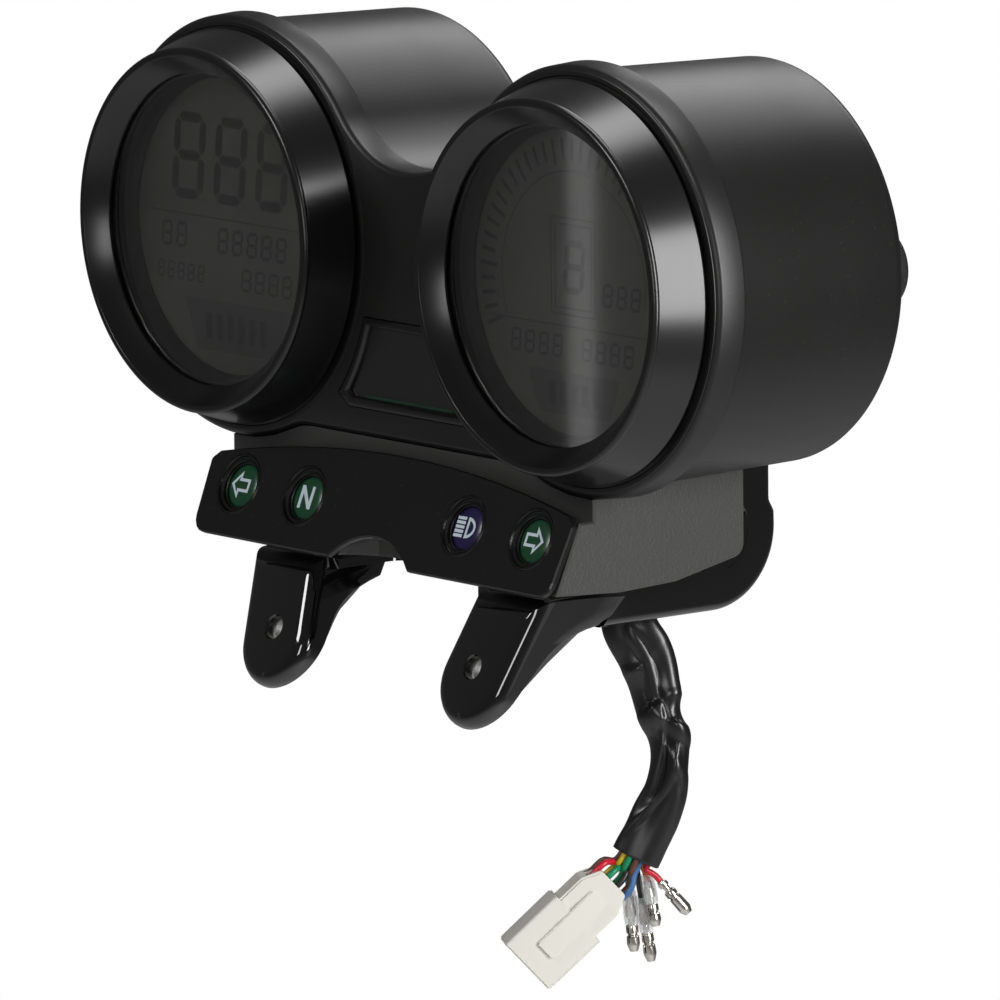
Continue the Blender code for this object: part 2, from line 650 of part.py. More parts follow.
# ==================================================================== lamp panel
def panel_outline(inset=0.0, notch_grow=0.0, drop=PANEL_DROP):
    """Arched plate with a key-switch notch, in X and up-slope Z."""
    half = PANEL_HALF_W - inset
    rise = PANEL_CROWN - PANEL_SHOULDER
    crown_r = (PANEL_HALF_W ** 2 + rise ** 2) / (2 * rise)
    centre = PANEL_CROWN - crown_r
    r = crown_r - inset
    spread = asin((half - PANEL_CORNER * 0.6) / r)
    top = arc(0.0, centre, r, pi / 2 - spread, pi / 2 + spread, 14)
    notch_r = (NOTCH_HALF_W ** 2 + NOTCH_H ** 2) / (2 * NOTCH_H) + notch_grow
    foot = -(drop - inset)
    notch_z = -(PANEL_DROP - NOTCH_H) + notch_grow - notch_r
    swing = acos((foot - notch_z) / notch_r)
    notch = arc(0.0, notch_z, notch_r, pi / 2 + swing, pi / 2 - swing, 9)
    shoulder = top[0][1] - PANEL_CORNER * 0.5
    low = half - PANEL_TAPER
    right = rounded([
        (notch[-1][0], notch[-1][1], 0.0),
        (low, foot, PANEL_CORNER),
        (half, shoulder, PANEL_CORNER * 0.4),
        (top[0][0], top[0][1], 0.0),
    ], 4)[1:-1]
    left = [(-x, z) for x, z in reversed(right)]
    return notch + right + top + left


def lamp_spots():
    return {
        "left_turn": -LAMP_OUTER,
        "neutral": -LAMP_INNER,
        "high_beam": LAMP_INNER,
        "right_turn": LAMP_OUTER,
    }


def make_panel():
    """Satin lamp panel, four stepped rings, four lenses and the lamp board."""
    panel = finish("lamp_panel", prism(panel_outline(), 0.0, PANEL_T, edge=PANEL_EDGE),
                   PANEL_BLACK, PANEL)
    boards = {}
    for side, sign in (("left", -1), ("right", 1)):
        plate = prism(board_outline(sign, 0.0), LAMP_BOARD_AT, LAMP_BOARD_AT + BOARD_T)
        boards[side] = finish(f"lamp_board_{side}", plate, BOARD, PANEL)
    for name, x in lamp_spots().items():
        at = (x, 0.0, -LAMP_DROP)
        hole = finish(f"hole_{name}", cylinder(RING_R + FIT, -0.005, 0.01, SMALL), None,
                      PANEL, at, guide=True)
        cut(panel, hole)
        r, s = RING_R, RING_STEP
        finish(f"ring_{name}", turned([
            (r, 0.0001), (r - s, 0.0001), (r - s * 1.3, s), (r - s * 2.0, s),
            (LAMP_R + FIT, 2 * s), (LAMP_R + FIT, RING_DEEP),
            (r + s, RING_DEEP), (r + s, PANEL_T + GAP), (r, PANEL_T + GAP),
        ], SMALL), PANEL_BLACK, PANEL, at, smooth=25.0)
        lens_back = LAMP_BOARD_AT - GAP
        finish(f"lamp_{name}", turned([
            (0.0, LAMP_SINK - LAMP_DOME), (LAMP_R * 0.7, LAMP_SINK - LAMP_DOME * 0.5),
            (LAMP_R, LAMP_SINK + 0.0004),
            (LAMP_R, lens_back), (LED_R + FIT, lens_back), (LED_R + FIT, lens_back - 0.0016),
            (0.0, lens_back - 0.0016),
        ], SMALL), BLUE_LENS if name == "high_beam" else GREEN_LENS, PANEL, at)
        led = finish(f"led_{name}", cylinder(LED_R, lens_back - 0.0012,
                                             LAMP_BOARD_AT + 0.0004, 16), None, PANEL, at,
                     guide=True)
        join(boards["left" if x < 0 else "right"], led)


# ============================================================= mounting bracket
def swept(path, section, lean):
    """Sweep an (x, n) section along (y, z) points; n points to the path's left.

    lean gives each ring's sideways shift and shear from its y.
    """
    rings = []
    last = len(path) - 1
    for i, (y, z) in enumerate(path):
        y0, z0 = path[max(i - 1, 0)]
        y1, z1 = path[min(i + 1, last)]
        size = hypot(y1 - y0, z1 - z0)
        ny, nz = -(z1 - z0) / size, (y1 - y0) / size
        shift, shear = lean(y)
        rings.append([(x + shift + n * shear, y + ny * n, z + nz * n) for x, n in section])
    return lofted(rings)


def ear_top(depth, wall):
    """Height of the bent top at a depth; wall is how far inside the outer face."""
    r = EAR_BEND - wall
    level = EAR_BEND - r * sin(EAR_TILT)
    if depth >= level:
        return BEND_Z + r * cos(EAR_TILT) + (depth - level) * tan(EAR_TILT)
    return BEND_Z + sqrt(max(0.0, r ** 2 - (EAR_BEND - depth) ** 2))


def ear_depth(z, part):
    """Depth of the flange at a height; part runs from its edge radius to its rim."""
    reach = BEND_Z + EAR_BEND
    rise = max(0.0, (min(z, reach) - reach + EAR_FLARE_RUN) / EAR_FLARE_RUN)
    full = EAR_DEEP + EAR_RAKE * z + EAR_FLARE * rise ** 2
    return EAR_ROUND + (full - EAR_ROUND) * part


def ear_outline(side, inset, top):
    """Tongue with a round end; its sides spread outwards by the splay."""
    r = EAR_HALF_W - inset
    lean = EAR_SPLAY
    points = [(x, z - EAR_DROP) for x, z in arc(0.0, 0.0, r, pi - lean, 2 * pi - lean, 10)]
    low = points[-1][1]
    flank = [low + (top - low) * t for t in (0.45, 0.65, 0.83, 1.0)]
    points += [((z + EAR_DROP) * tan(lean) + r / cos(lean), z) for z in flank]
    low = points[0][1]
    flank = [low + (top - low) * t for t in (1.0, 0.83, 0.65, 0.45)]
    points += [((z + EAR_DROP) * tan(lean) - r / cos(lean), z) for z in flank]
    return [(side * x, z) for x, z in points]


def pressed_ear(side):
    """Dished ear: flat face, rounded edge, flange all round, bend at the top."""
    rings = []
    for i in range(4):
        a = pi / 2 * i / 3
        depth = EAR_ROUND * (1 - cos(a))
        shape = ear_outline(side, EAR_ROUND * (1 - sin(a)), ear_top(depth, 0.0))
        rings.append([(x, depth, z) for x, z in shape])
    peak = BEND_Z + EAR_BEND
    for part in (0.10, 0.25, 1.0):
        shape = ear_outline(side, 0.0, ear_top(ear_depth(peak, part), 0.0))
        rings.append([(x, ear_depth(z, part), z) for x, z in shape])
    return lofted(rings)


def ear_hollow(side):
    """Space inside the flange, open to the rear."""
    edge = EAR_ROUND - STEEL_T
    sections = [(STEEL_T, STEEL_T + edge), (STEEL_T + edge, STEEL_T),
                (EAR_BEND - STEEL_T * 0.5, STEEL_T), (EAR_BEND + EAR_DEEP + EAR_FLARE, STEEL_T)]
    return lofted([[(x, y, z) for x, z in ear_outline(side, inset, ear_top(y, STEEL_T))]
                   for y, inset in sections])


def arm_section():
    """L section: lower flange, rounded outer edge, upright web."""
    e = STEEL_T * 0.24
    bend = arc(ARM_OUT - ARM_BEND, ARM_BEND, ARM_BEND, -pi / 2, 0.0, 2)
    tip = ARM_OUT - ARM_FLANGE
    wall = ARM_OUT - STEEL_T
    return [(tip + e, 0.0)] + bend + [
        (ARM_OUT, ARM_W - e), (ARM_OUT - e, ARM_W), (wall + e, ARM_W), (wall, ARM_W - e),
        (wall, STEEL_T + e), (wall - e, STEEL_T), (tip + e, STEEL_T), (tip, STEEL_T - e),
        (tip, e)]


def arm_path():
    """Lower edge of the arm in y and z: back under the casing, then up."""
    corner = arc(ARM_BACK - ARM_CORNER, ARM_CORNER - ARM_LOW, ARM_CORNER, -pi / 2, 0.0, 6)
    jog = ARM_BACK - ARM_JOG
    return [(ARM_START, -ARM_LOW), (ARM_BLEND * 0.45, -ARM_LOW), (ARM_BLEND, -ARM_LOW)] \
        + corner + [
        (ARM_BACK, -ARM_JOG_AT - 0.0012), (jog, -ARM_JOG_AT + 0.0012),
        (jog, -FOOT_UP - FOOT_HALF_W), (jog, -FOOT_UP)]


def arm_lean(y):
    """The arm starts flush with the ear's outer flange and turns upright."""
    up = (ARM_START - EAR_Y) * sin(EAR_TILT) + (-ARM_LOW - HOLE_Z) * cos(EAR_TILT)
    flank = EAR_X + EAR_HALF_W / cos(EAR_SPLAY) + (EAR_DROP + up) * tan(EAR_SPLAY)
    part = max(0.0, min(1.0, (ARM_BLEND - y) / (ARM_BLEND - ARM_START)))
    return ((flank - GAP - ARM_OUT) * part, cos(EAR_TILT) * tan(EAR_SPLAY) * part)


def arm_corner():
    """Web plate that fills the inside of the arm's bend, in y and z."""
    w = ARM_W
    back, low = ARM_BACK - w, -ARM_LOW + w
    return [(back - w * 1.67, low - w * 0.18), (back - w * 1.36, low + w * 0.02),
            (back - w * 0.76, low + w * 0.38), (back - w * 0.25, low + w * 0.89),
            (back + w * 0.03, low + w * 1.58), (back + w * 0.28, low + w * 1.58),
            (back + w * 0.37, low + w * 0.18), (back - w * 0.74, low - w * 0.46)]


def foot_outline():
    """Rear tab that the arm's screw passes through, in x and z."""
    edge = ARM_OUT - STEEL_T * 0.6
    low = -FOOT_UP - FOOT_HALF_W
    high = -FOOT_UP + FOOT_HALF_W
    inner = FOOT_X - FOOT_HALF_W
    return rounded([
        (edge, low - 0.004, 0.0), (edge, high - 0.0035, 0.004), (edge - 0.0045, high, 0.004),
        (inner, high, 0.006), (inner, low, 0.006), (FOOT_X, low - 0.002, 0.004),
    ], 3)


def make_bracket():
    """Pressed steel: tray under the casing, two dished ears and the rear arm."""
    half = [(TRAY_GAP_HALF, TRAY_GAP_BACK, TRAY_CORNER), (TRAY_GAP_HALF, TRAY_FRONT, 0.0),
            (TRAY_WIDE, TRAY_FRONT, 0.0), (TRAY_HALF_W, TRAY_GAP_BACK, 0.0),
            (TRAY_HALF_W, TRAY_BACK, TRAY_CORNER)]
    plate = rounded(half + [(-x, y, r) for x, y, r in reversed(half)], 3)
    bracket = finish("bracket", prism(plate, TRAY_TOP - STEEL_T, TRAY_TOP, "Z"),
                     STEEL_BLACK, CLUSTER, smooth=40.0)
    web = prism(arm_corner(), ARM_OUT - STEEL_T + 0.0001, ARM_OUT - 0.0001, "X")
    parts = [
        finish("ear_right", pressed_ear(1), None, EARS["right"], guide=True),
        finish("ear_left", pressed_ear(-1), None, EARS["left"], guide=True),
        finish("arm", swept(arm_path(), arm_section(), arm_lean), None, CLUSTER, guide=True),
        finish("arm_corner", web, None, CLUSTER, guide=True),
        finish("arm_foot", prism(foot_outline(), FOOT_Y + 0.0001, FOOT_Y + STEEL_T - 0.0001),
               None, CLUSTER, guide=True),
    ]
    join(bracket, *parts)
    for name, side in (("left", -1), ("right", 1)):
        hollow = finish(f"ear_hollow_{name}", ear_hollow(side), None, EARS[name], guide=True)
        bore = finish(f"ear_hole_{name}", cylinder(EAR_HOLE_R, -0.01, 0.006), None,
                      EARS[name], guide=True)
        slot = finish(f"tray_hole_{name}",
                      cylinder(SCREW_SHANK_R + FIT, TRAY_TOP - 0.01, TRAY_TOP + 0.01, 16, "Z"),
                      None, CLUSTER, (side * EAR_X, tray_screw_y(), 0.0), guide=True)
        cut(bracket, hollow, bore, slot)
    foot_hole = screw_hole("foot_hole", FOOT_X, -FOOT_UP, REAR_Y + 0.005, REAR_Y + 0.03)
    return cut(bracket, foot_hole)


def make_nuts():
    """Weld nuts behind the ears."""
    corner = NUT_AF / 2 / cos(pi / 6)
    hexagon = [(corner * cos(radians(60 * i)), corner * sin(radians(60 * i)))
               for i in range(6)]
    back = STEEL_T + GAP
    for name, ear in EARS.items():
        nut = finish(f"weld_nut_{name}", prism(hexagon, back, back + NUT_H, edge=0.0004),
                     ZINC, ear)
        bore = finish(f"nut_bore_{name}", cylinder(NUT_BORE_R, back - 0.005,
                                                   back + NUT_H + 0.005, 16), None, ear,
                      guide=True)
        cut(nut, bore)


# ============================================================ screws and damper
def screw_profile(head_r, head_h, shank_r, length):
    """Pan head at y = 0 .. head_h, shank towards -y."""
    return [
        (0.0, head_h), (head_r * 0.7, head_h),
        (head_r, head_h * 0.35), (head_r, 0.0), (shank_r, 0.0), (shank_r, -length),
        (0.0, -length - 0.0008),
    ]


def make_fasteners():
    """Case screws, tray screws, the foot screw and the rear damper."""
    profile = screw_profile(SCREW_HEAD_R, SCREW_HEAD_H, SCREW_SHANK_R, REAR_WALL + 0.001)
    names = [f"case_screw_{side}_{n}" for side in ("left", "right") for n in (1, 2, 3)]
    for name, (x, z) in zip(names, case_screw_spots()):
        finish(name, turned(profile, 10), ZINC, CLUSTER, (x, REAR_Y + GAP, z))
    profile = screw_profile(SCREW_HEAD_R, SCREW_HEAD_H, SCREW_SHANK_R, SCREW_LEN - 0.002)
    finish("foot_screw", turned(profile, 12), ZINC, CLUSTER,
           (FOOT_X, FOOT_Y + STEEL_T + GAP, -FOOT_UP))
    for name, side in (("left", -1), ("right", 1)):
        screw = finish(f"tray_screw_{name}", turned(profile, 12), ZINC, CLUSTER,
                       (side * EAR_X, tray_screw_y(), TRAY_TOP - STEEL_T - GAP))
        screw.rotation_euler = (-pi / 2, 0.0, 0.0)
    front = REAR_Y + DAMPER_STAND + GAP
    r, t = DAMPER_R, DAMPER_T
    finish("rear_damper", turned([
        (SCREW_SHANK_R + FIT, front), (r - 0.0006, front), (r, front + 0.0006),
        (r, front + t - 0.0008), (r - 0.0008, front + t), (SCREW_HEAD_R + 0.0012, front + t),
        (SCREW_HEAD_R + 0.0008, front + t - SCREW_HEAD_H - GAP),
        (SCREW_SHANK_R + FIT, front + t - SCREW_HEAD_H - GAP),
    ], SMALL + 2), RUBBER, CLUSTER, (DAMPER_X, 0.0, -DAMPER_DROP))
    seat = t - SCREW_HEAD_H
    profile = screw_profile(SCREW_HEAD_R, SCREW_HEAD_H, SCREW_SHANK_R, seat + 0.0050)
    finish("damper_screw", turned(profile, 12), ZINC, CLUSTER,
           (DAMPER_X, front + seat, -DAMPER_DROP))


# ======================================================================= harness
def smooth_route(points, spacing):
    """Even points along a Catmull-Rom curve through the given points."""
    pts = [Vector(p) for p in points]
    pts = [2 * pts[0] - pts[1]] + pts + [2 * pts[-1] - pts[-2]]
    fine = []
    for a, b, c, d in zip(pts, pts[1:], pts[2:], pts[3:]):
        for i in range(24):
            t = i / 24
            fine.append(0.5 * ((2 * b) + (c - a) * t + (2 * a - 5 * b + 4 * c - d) * t * t
                               + (3 * b - a - 3 * c + d) * t ** 3))
    fine.append(pts[-2])
    total = sum((q - p).length for p, q in zip(fine, fine[1:]))
    count = max(2, round(total / spacing))
    out, walked, target = [fine[0]], 0.0, total / count
    for p, q in zip(fine, fine[1:]):
        step = (q - p).length
        while walked + step >= target - 1e-9 and len(out) < count:
            out.append(p.lerp(q, (target - walked) / step))
            target += total / count
        walked += step
    out.append(fine[-1])
    return out


def tube(name, points, radius, mat, spacing, parent=CLUSTER):
    """A round cord as a bevelled curve with filled caps."""
    route = smooth_route(points, spacing)
    data = bpy.data.curves.new(name, "CURVE")
    data.dimensions = "3D"
    line = data.splines.new("POLY")
    line.points.add(len(route) - 1)
    for spot, p in zip(line.points, route):
        spot.co = (*p, 1.0)
    data.bevel_depth = radius
    data.bevel_resolution = 2
    data.use_fill_caps = True
    data.materials.append(mat)
    obj = bpy.data.objects.new(name, data)
    obj.parent = parent
    bpy.context.collection.objects.link(obj)
    return obj


SLEEVE_ROUTE = [
    (GROMMET_X, CASE_DEPTH + GROMMET_NECK + GAP, -GROMMET_DROP),
    (0.0060, 0.0580, -0.0660),
    (0.0062, 0.0625, -0.0666),
    (0.0080, 0.0672, -0.0720),
    (0.0118, 0.0668, -0.0820),
    (0.0165, 0.0615, -0.0925),
    (0.0210, 0.0580, -0.1020),
    (0.0244, 0.0611, -0.1112),
    (0.0260, 0.0631, -0.1224),
    (0.0279, 0.0654, -0.1334),
    (0.0275, 0.0650, -0.1450),
    (0.0257, 0.0627, -0.1526),
    (0.0222, 0.0585, -0.1640),
]

PLUG_BACK = (0.0182, 0.0535, -0.1700)
PLUG_AIM = (-0.373, -0.633, -0.678)
PLUG_WIDE = (0.345, 0.470, -0.812)

# name: (insulation, where the wire leaves the sleeve across it, terminal's two ends)
TERMINALS = {
    "red": (WIRE_RED, (0.0037, 0.0004), (0.0262, 0.0630, -0.1700), (0.0313, 0.0690, -0.1790)),
    "orange": (WIRE_ORANGE, (0.0022, 0.0030), (0.0213, 0.0630, -0.1705),
               (0.0228, 0.0648, -0.1832)),
    "blue": (WIRE_BLUE, (-0.0022, 0.0031), (0.0146, 0.0625, -0.1757),
             (0.0148, 0.0639, -0.1910)),
    "black": (WIRE_BLACK, (0.0, 0.0037), (0.0180, 0.0640, -0.1770),
              (0.0184, 0.0668, -0.1935)),
}


def along(start, direction, wide):
    """Matrix whose -Y runs along direction and whose X follows wide."""
    back = -Vector(direction).normalized()
    side = Vector(wide)
    side = (side - back * side.dot(back)).normalized()
    up = side.cross(back)
    basis = Matrix((side, back, up)).transposed().to_4x4()
    basis.translation = Vector(start)
    return basis


def box(x, y0, y1, z):
    return prism([(-x, -z), (x, -z), (x, z), (-x, z)], y0, y1)


def make_plug():
    """Nylon nine-way plug: body, wider hood, latch ramp, guide ribs and cavities."""
    frame = along(PLUG_BACK, PLUG_AIM, PLUG_WIDE)
    w, h, length = PLUG_W / 2, PLUG_H / 2, PLUG_L
    pieces = [
        ("plug", box(w * 0.82, -length * 0.62, -0.0002, h * 0.86), False),
        ("plug_hood", box(w, -length, -length * 0.42, h), True),
        ("plug_latch", prism([(-0.0030, h - 0.0005), (0.0030, h - 0.0005),
                              (0.0022, h + 0.0022), (-0.0022, h + 0.0022)],
                             -length * 0.80, -length * 0.18), True),
        ("plug_rib", prism([(w - 0.0005, -0.0020), (w + 0.0012, -0.0016),
                            (w + 0.0012, 0.0016), (w - 0.0005, 0.0020)],
                           -length * 0.90, -length * 0.42), True),
    ]
    made = []
    for name, bm, guide in pieces:
        obj = finish(name, bm, NYLON if not guide else None, CLUSTER, guide=guide)
        obj.matrix_local = frame
        made.append(obj)
    plug = made[0]
    join(plug, *made[1:])
    mouth = finish("plug_mouth", box(w - 0.0014, -length - 0.01, -length * 0.66, h - 0.0014),
                   None, CLUSTER, guide=True)
    mouth.matrix_local = frame
    cut(plug, mouth)


def make_terminals(mouth, ahead):
    """Loose wires out of the sleeve, each crimped into a bullet terminal."""
    side = Vector((0.70, 0.55, 0.0))
    side = (side - ahead * side.dot(ahead)).normalized()
    back = ahead.cross(side)
    if back.y < 0:
        back = -back
    r = BULLET_R
    for name, (mat, (a, b), first, last) in TERMINALS.items():
        first, last = Vector(first), Vector(last)
        aim = (last - first).normalized()
        span = (last - first).length
        start = mouth + ahead * 2 * GAP + side * a + back * b
        tube(f"wire_{name}", [start, start + ahead * 0.0014, first - aim * 0.0016,
                              first - aim * GAP], WIRE_R, mat, 0.0019)
        boot = 0.42 if name != "red" else 0.22
        obj = finish(f"bullet_{name}", turned([
            (0.0, 0.0), (r * 0.86, 0.0), (r * 0.86, -span * boot), (r * 0.55, -span * boot),
            (r * 0.55, -span * (boot + 0.08)), (r * 0.94, -span * (boot + 0.10)),
            (r, -span * 0.80), (r * 0.92, -span * 0.93), (r * 0.5, -span), (0.0, -span),
        ], 8), TIN, CLUSTER)
        obj.matrix_local = along(first, aim, (1.0, 0.2, 0.1))


def make_harness():
    """Grommet, sleeve, wires, plug and bullet terminals."""
    r, f = GROMMET_R, GROMMET_FLANGE
    bore = SLEEVE_R - 0.0012
    neck = CASE_DEPTH + GROMMET_NECK
    root = CASE_DEPTH - CASE_WALL + GAP
    finish("harness_grommet", turned([
        (bore, neck), (SLEEVE_R, neck), (r, CASE_DEPTH + f + GAP), (r, CASE_DEPTH + GAP),
        (r - f, CASE_DEPTH + GAP), (r - f, root), (bore, root),
    ], SMALL), RUBBER, CLUSTER, (GROMMET_X, 0.0, -GROMMET_DROP))
    tube("harness_sleeve", SLEEVE_ROUTE, SLEEVE_R, VINYL, 0.0060)
    mouth = Vector(SLEEVE_ROUTE[-1])
    ahead = (mouth - Vector(SLEEVE_ROUTE[-2])).normalized()
    tail = Vector(PLUG_AIM).normalized()
    plug_end = Vector(PLUG_BACK) - tail * GAP
    begin = mouth + ahead * 2 * GAP
    tube("wire_bundle", [begin, begin + ahead * 0.0014, plug_end - tail * 0.0012, plug_end],
         BUNDLE_R, WIRE_BLACK, 0.0012)
    make_plug()
    make_terminals(mouth, ahead)


make_housing()
make_window()
for pod_side in PODS:
    make_pod(pod_side)
make_lower_case()
make_panel()
make_bracket()
make_nuts()
make_fasteners()
make_harness()
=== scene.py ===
import logging
from dataclasses import dataclass, field
from enum import Enum
from math import acos, asin, atan2, cos, exp, hypot, pi, radians, sin, sqrt, tan
from typing import ClassVar, Iterable, Sequence

import bmesh
import bpy
from mathutils import Matrix, Vector, noise


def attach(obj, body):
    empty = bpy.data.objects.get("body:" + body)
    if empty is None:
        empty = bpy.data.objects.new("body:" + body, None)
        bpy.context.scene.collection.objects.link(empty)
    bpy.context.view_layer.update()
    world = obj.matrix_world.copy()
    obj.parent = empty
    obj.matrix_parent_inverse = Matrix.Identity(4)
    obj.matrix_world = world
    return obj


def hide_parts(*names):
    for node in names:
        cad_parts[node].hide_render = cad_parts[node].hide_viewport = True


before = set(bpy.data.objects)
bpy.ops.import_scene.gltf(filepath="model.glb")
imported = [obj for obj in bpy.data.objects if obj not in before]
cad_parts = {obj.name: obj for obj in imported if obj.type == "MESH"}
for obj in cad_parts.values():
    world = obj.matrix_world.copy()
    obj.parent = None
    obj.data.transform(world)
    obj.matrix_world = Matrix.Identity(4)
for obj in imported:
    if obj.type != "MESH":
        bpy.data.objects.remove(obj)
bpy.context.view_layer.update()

log = logging.getLogger("instrument_cluster")

Point2 = tuple[float, float]
Point3 = tuple[float, float, float]
Obj = bpy.types.Object
Form = bmesh.types.BMesh
Socket = bpy.types.NodeSocket
Colour = tuple[float, float, float]

BODY = "root"
POD_RISE = 0.1024
LIP_SETBACK = 0.0120
HALF_SPACING = 0.0710
ORIGIN = Vector((0.0, LIP_SETBACK, POD_RISE))


# ------------------------------------------------------------------- outlines
def arc(cx: float, cy: float, r: float, start: float, end: float, steps: int) -> list[Point2]:
    """Points on an arc, both ends included.

    Args:
        cx: Centre, first axis.
        cy: Centre, second axis.
        r: Radius.
        start: First angle in radians.
        end: Last angle in radians.
        steps: Number of spans.

    Returns:
        The points in order.
    """
    return [
        (cx + r * cos(start + (end - start) * i / steps),
         cy + r * sin(start + (end - start) * i / steps))
        for i in range(steps + 1)
    ]


def rounded(corners: Sequence[Point3], steps: int = 6) -> list[Point2]:
    """Round each corner of a polygon with a tangent arc.

    Args:
        corners: Corner points with the radius wanted at each.
        steps: Spans in each arc.

    Returns:
        The rounded outline.
    """
    out: list[Point2] = []
    count = len(corners)
    for i, (x, y, r) in enumerate(corners):
        here = Vector((x, y))
        if r <= 0:
            out.append((x, y))
            continue
        back = (Vector(corners[i - 1][:2]) - here).normalized()
        ahead = (Vector(corners[(i + 1) % count][:2]) - here).normalized()
        half = acos(max(-1.0, min(1.0, back.dot(ahead)))) / 2
        centre = here + (back + ahead).normalized() * (r / sin(half))
        first = here + back * (r / tan(half)) - centre
        last = here + ahead * (r / tan(half)) - centre
        turn = atan2(first.x * last.y - first.y * last.x, first.dot(last))
        begin = atan2(first.y, first.x)
        out += arc(centre.x, centre.y, r, begin, begin + turn, steps)
    return out


def smooth_route(points: Iterable[Sequence[float]], spacing: float) -> list[Vector]:
    """Even points along a smooth curve through the given points.

    Args:
        points: Points that the curve passes through.
        spacing: Wanted distance between the points that come out.

    Returns:
        Evenly spaced points, both ends kept.
    """
    pts = [Vector(p) for p in points]
    pts = [2 * pts[0] - pts[1]] + pts + [2 * pts[-1] - pts[-2]]
    fine: list[Vector] = []
    for a, b, c, d in zip(pts, pts[1:], pts[2:], pts[3:]):
        for i in range(24):
            t = i / 24
            fine.append(0.5 * ((2 * b) + (c - a) * t + (2 * a - 5 * b + 4 * c - d) * t * t
                               + (3 * b - a - 3 * c + d) * t ** 3))
    fine.append(pts[-2])
    total = sum((q - p).length for p, q in zip(fine, fine[1:]))
    count = max(2, round(total / spacing))
    out, walked, target = [fine[0]], 0.0, total / count
    for p, q in zip(fine, fine[1:]):
        step = (q - p).length
        while walked + step >= target - 1e-9 and len(out) < count:
            out.append(p.lerp(q, (target - walked) / step))
            target += total / count
        walked += step
    out.append(fine[-1])
    return out


def route_length(points: Sequence[Vector]) -> float:
    """Length of a run of points."""
    return sum((b - a).length for a, b in zip(points, points[1:]))


# --------------------------------------------------------------- solid makers
def turned(profile: Sequence[Point2], steps: int = 160) -> Form:
    """Spin a closed (radius, y) profile about the Y axis.

    Args:
        profile: Points as (radius, y).
        steps: Sides of the circle.

    Returns:
        The turned form.
    """
    bm = bmesh.new()
    verts = [bm.verts.new((r, y, 0.0)) for r, y in profile]
    edges = [bm.edges.new((a, b)) for a, b in zip(verts, verts[1:])]
    if profile[0][0] > 1e-9 or profile[-1][0] > 1e-9:
        edges.append(bm.edges.new((verts[-1], verts[0])))
    bmesh.ops.spin(bm, geom=verts + edges, cent=(0, 0, 0), axis=(0, 1, 0),
                   dvec=(0, 0, 0), angle=2 * pi, steps=steps, use_merge=True)
    bmesh.ops.remove_doubles(bm, verts=bm.verts, dist=1e-7)
    return bm


def lofted(rings: Sequence[Sequence[Sequence[float]]], caps: bool = True) -> Form:
    """Skin rings of equal counts.

    Args:
        rings: Rings of points, all the same length.
        caps: Whether the two end rings are filled.

    Returns:
        The skinned form.
    """
    bm = bmesh.new()
    rows = [[bm.verts.new(p) for p in ring] for ring in rings]
    for low, high in zip(rows, rows[1:]):
        for i in range(len(low)):
            j = (i + 1) % len(low)
            bm.faces.new((low[i], low[j], high[j], high[i]))
    if caps:
        bm.faces.new(rows[0])
        bm.faces.new(rows[-1])
    return bm


def prism(outline: Sequence[Point2], start: float, end: float, axis: str = "Y",
          edge: float = 0.0) -> Form:
    """Extrude a flat outline along an axis.

    Args:
        outline: The outline's points.
        start: Where the extrusion begins.
        end: Where it ends.
        axis: Y, X or Z.
        edge: Bevel width on the two end rims.

    Returns:
        The extruded form.
    """
    place = {
        "Y": lambda a, b, d: (a, d, b),
        "X": lambda a, b, d: (d, a, b),
        "Z": lambda a, b, d: (a, b, d),
    }[axis]
    bm = bmesh.new()
    base = bm.faces.new([bm.verts.new(place(a, b, start)) for a, b in outline])
    grown = bmesh.ops.extrude_face_region(bm, geom=[base])
    moved = [g for g in grown["geom"] if isinstance(g, bmesh.types.BMVert)]
    bmesh.ops.translate(bm, vec=Vector(place(0.0, 0.0, end - start)), verts=moved)
    bm.normal_update()
    if edge:
        tops = [f for f in bm.faces if len(f.verts) == len(outline)]
        rims = list({e for f in tops for e in f.edges})
        bmesh.ops.bevel(bm, geom=rims, offset=edge, segments=2, affect="EDGES",
                        clamp_overlap=True)
    return bm


def cylinder(r: float, start: float, end: float, steps: int = 48, axis: str = "Y") -> Form:
    """A plain round bar used to cut or to build on."""
    return prism(arc(0.0, 0.0, r, 0.0, 2 * pi, steps)[:-1], start, end, axis)


def front_faces(shapes: Iterable[Sequence[Point2]], y: float) -> Form:
    """Flat shapes that face the front.

    Args:
        shapes: Outlines in X and Z.
        y: Their depth.

    Returns:
        The faces.
    """
    bm = bmesh.new()
    for shape in shapes:
        bm.faces.new([bm.verts.new((px, y, pz)) for px, pz in shape])
    bm.normal_update()
    for face in bm.faces:
        if face.normal.y > 0:
            face.normal_flip()
    return bm


def make_object(name: str, bm: Form, matrix: Matrix, smooth: float = 32.0) -> Obj:
    """Turn a bmesh into a shaded object.

    Args:
        name: Object name.
        bm: The form; it is freed.
        matrix: Where it goes.
        smooth: Faces that meet at less than this angle are smoothed.

    Returns:
        The object.
    """
    bmesh.ops.remove_doubles(bm, verts=bm.verts, dist=1e-7)
    bmesh.ops.recalc_face_normals(bm, faces=bm.faces)
    mesh = bpy.data.meshes.new(name)
    bm.to_mesh(mesh)
    bm.free()
    mesh.shade_smooth()
    mesh.set_sharp_from_angle(angle=radians(smooth))
    obj = bpy.data.objects.new(name, mesh)
    obj.matrix_world = matrix
    bpy.context.scene.collection.objects.link(obj)
    return obj


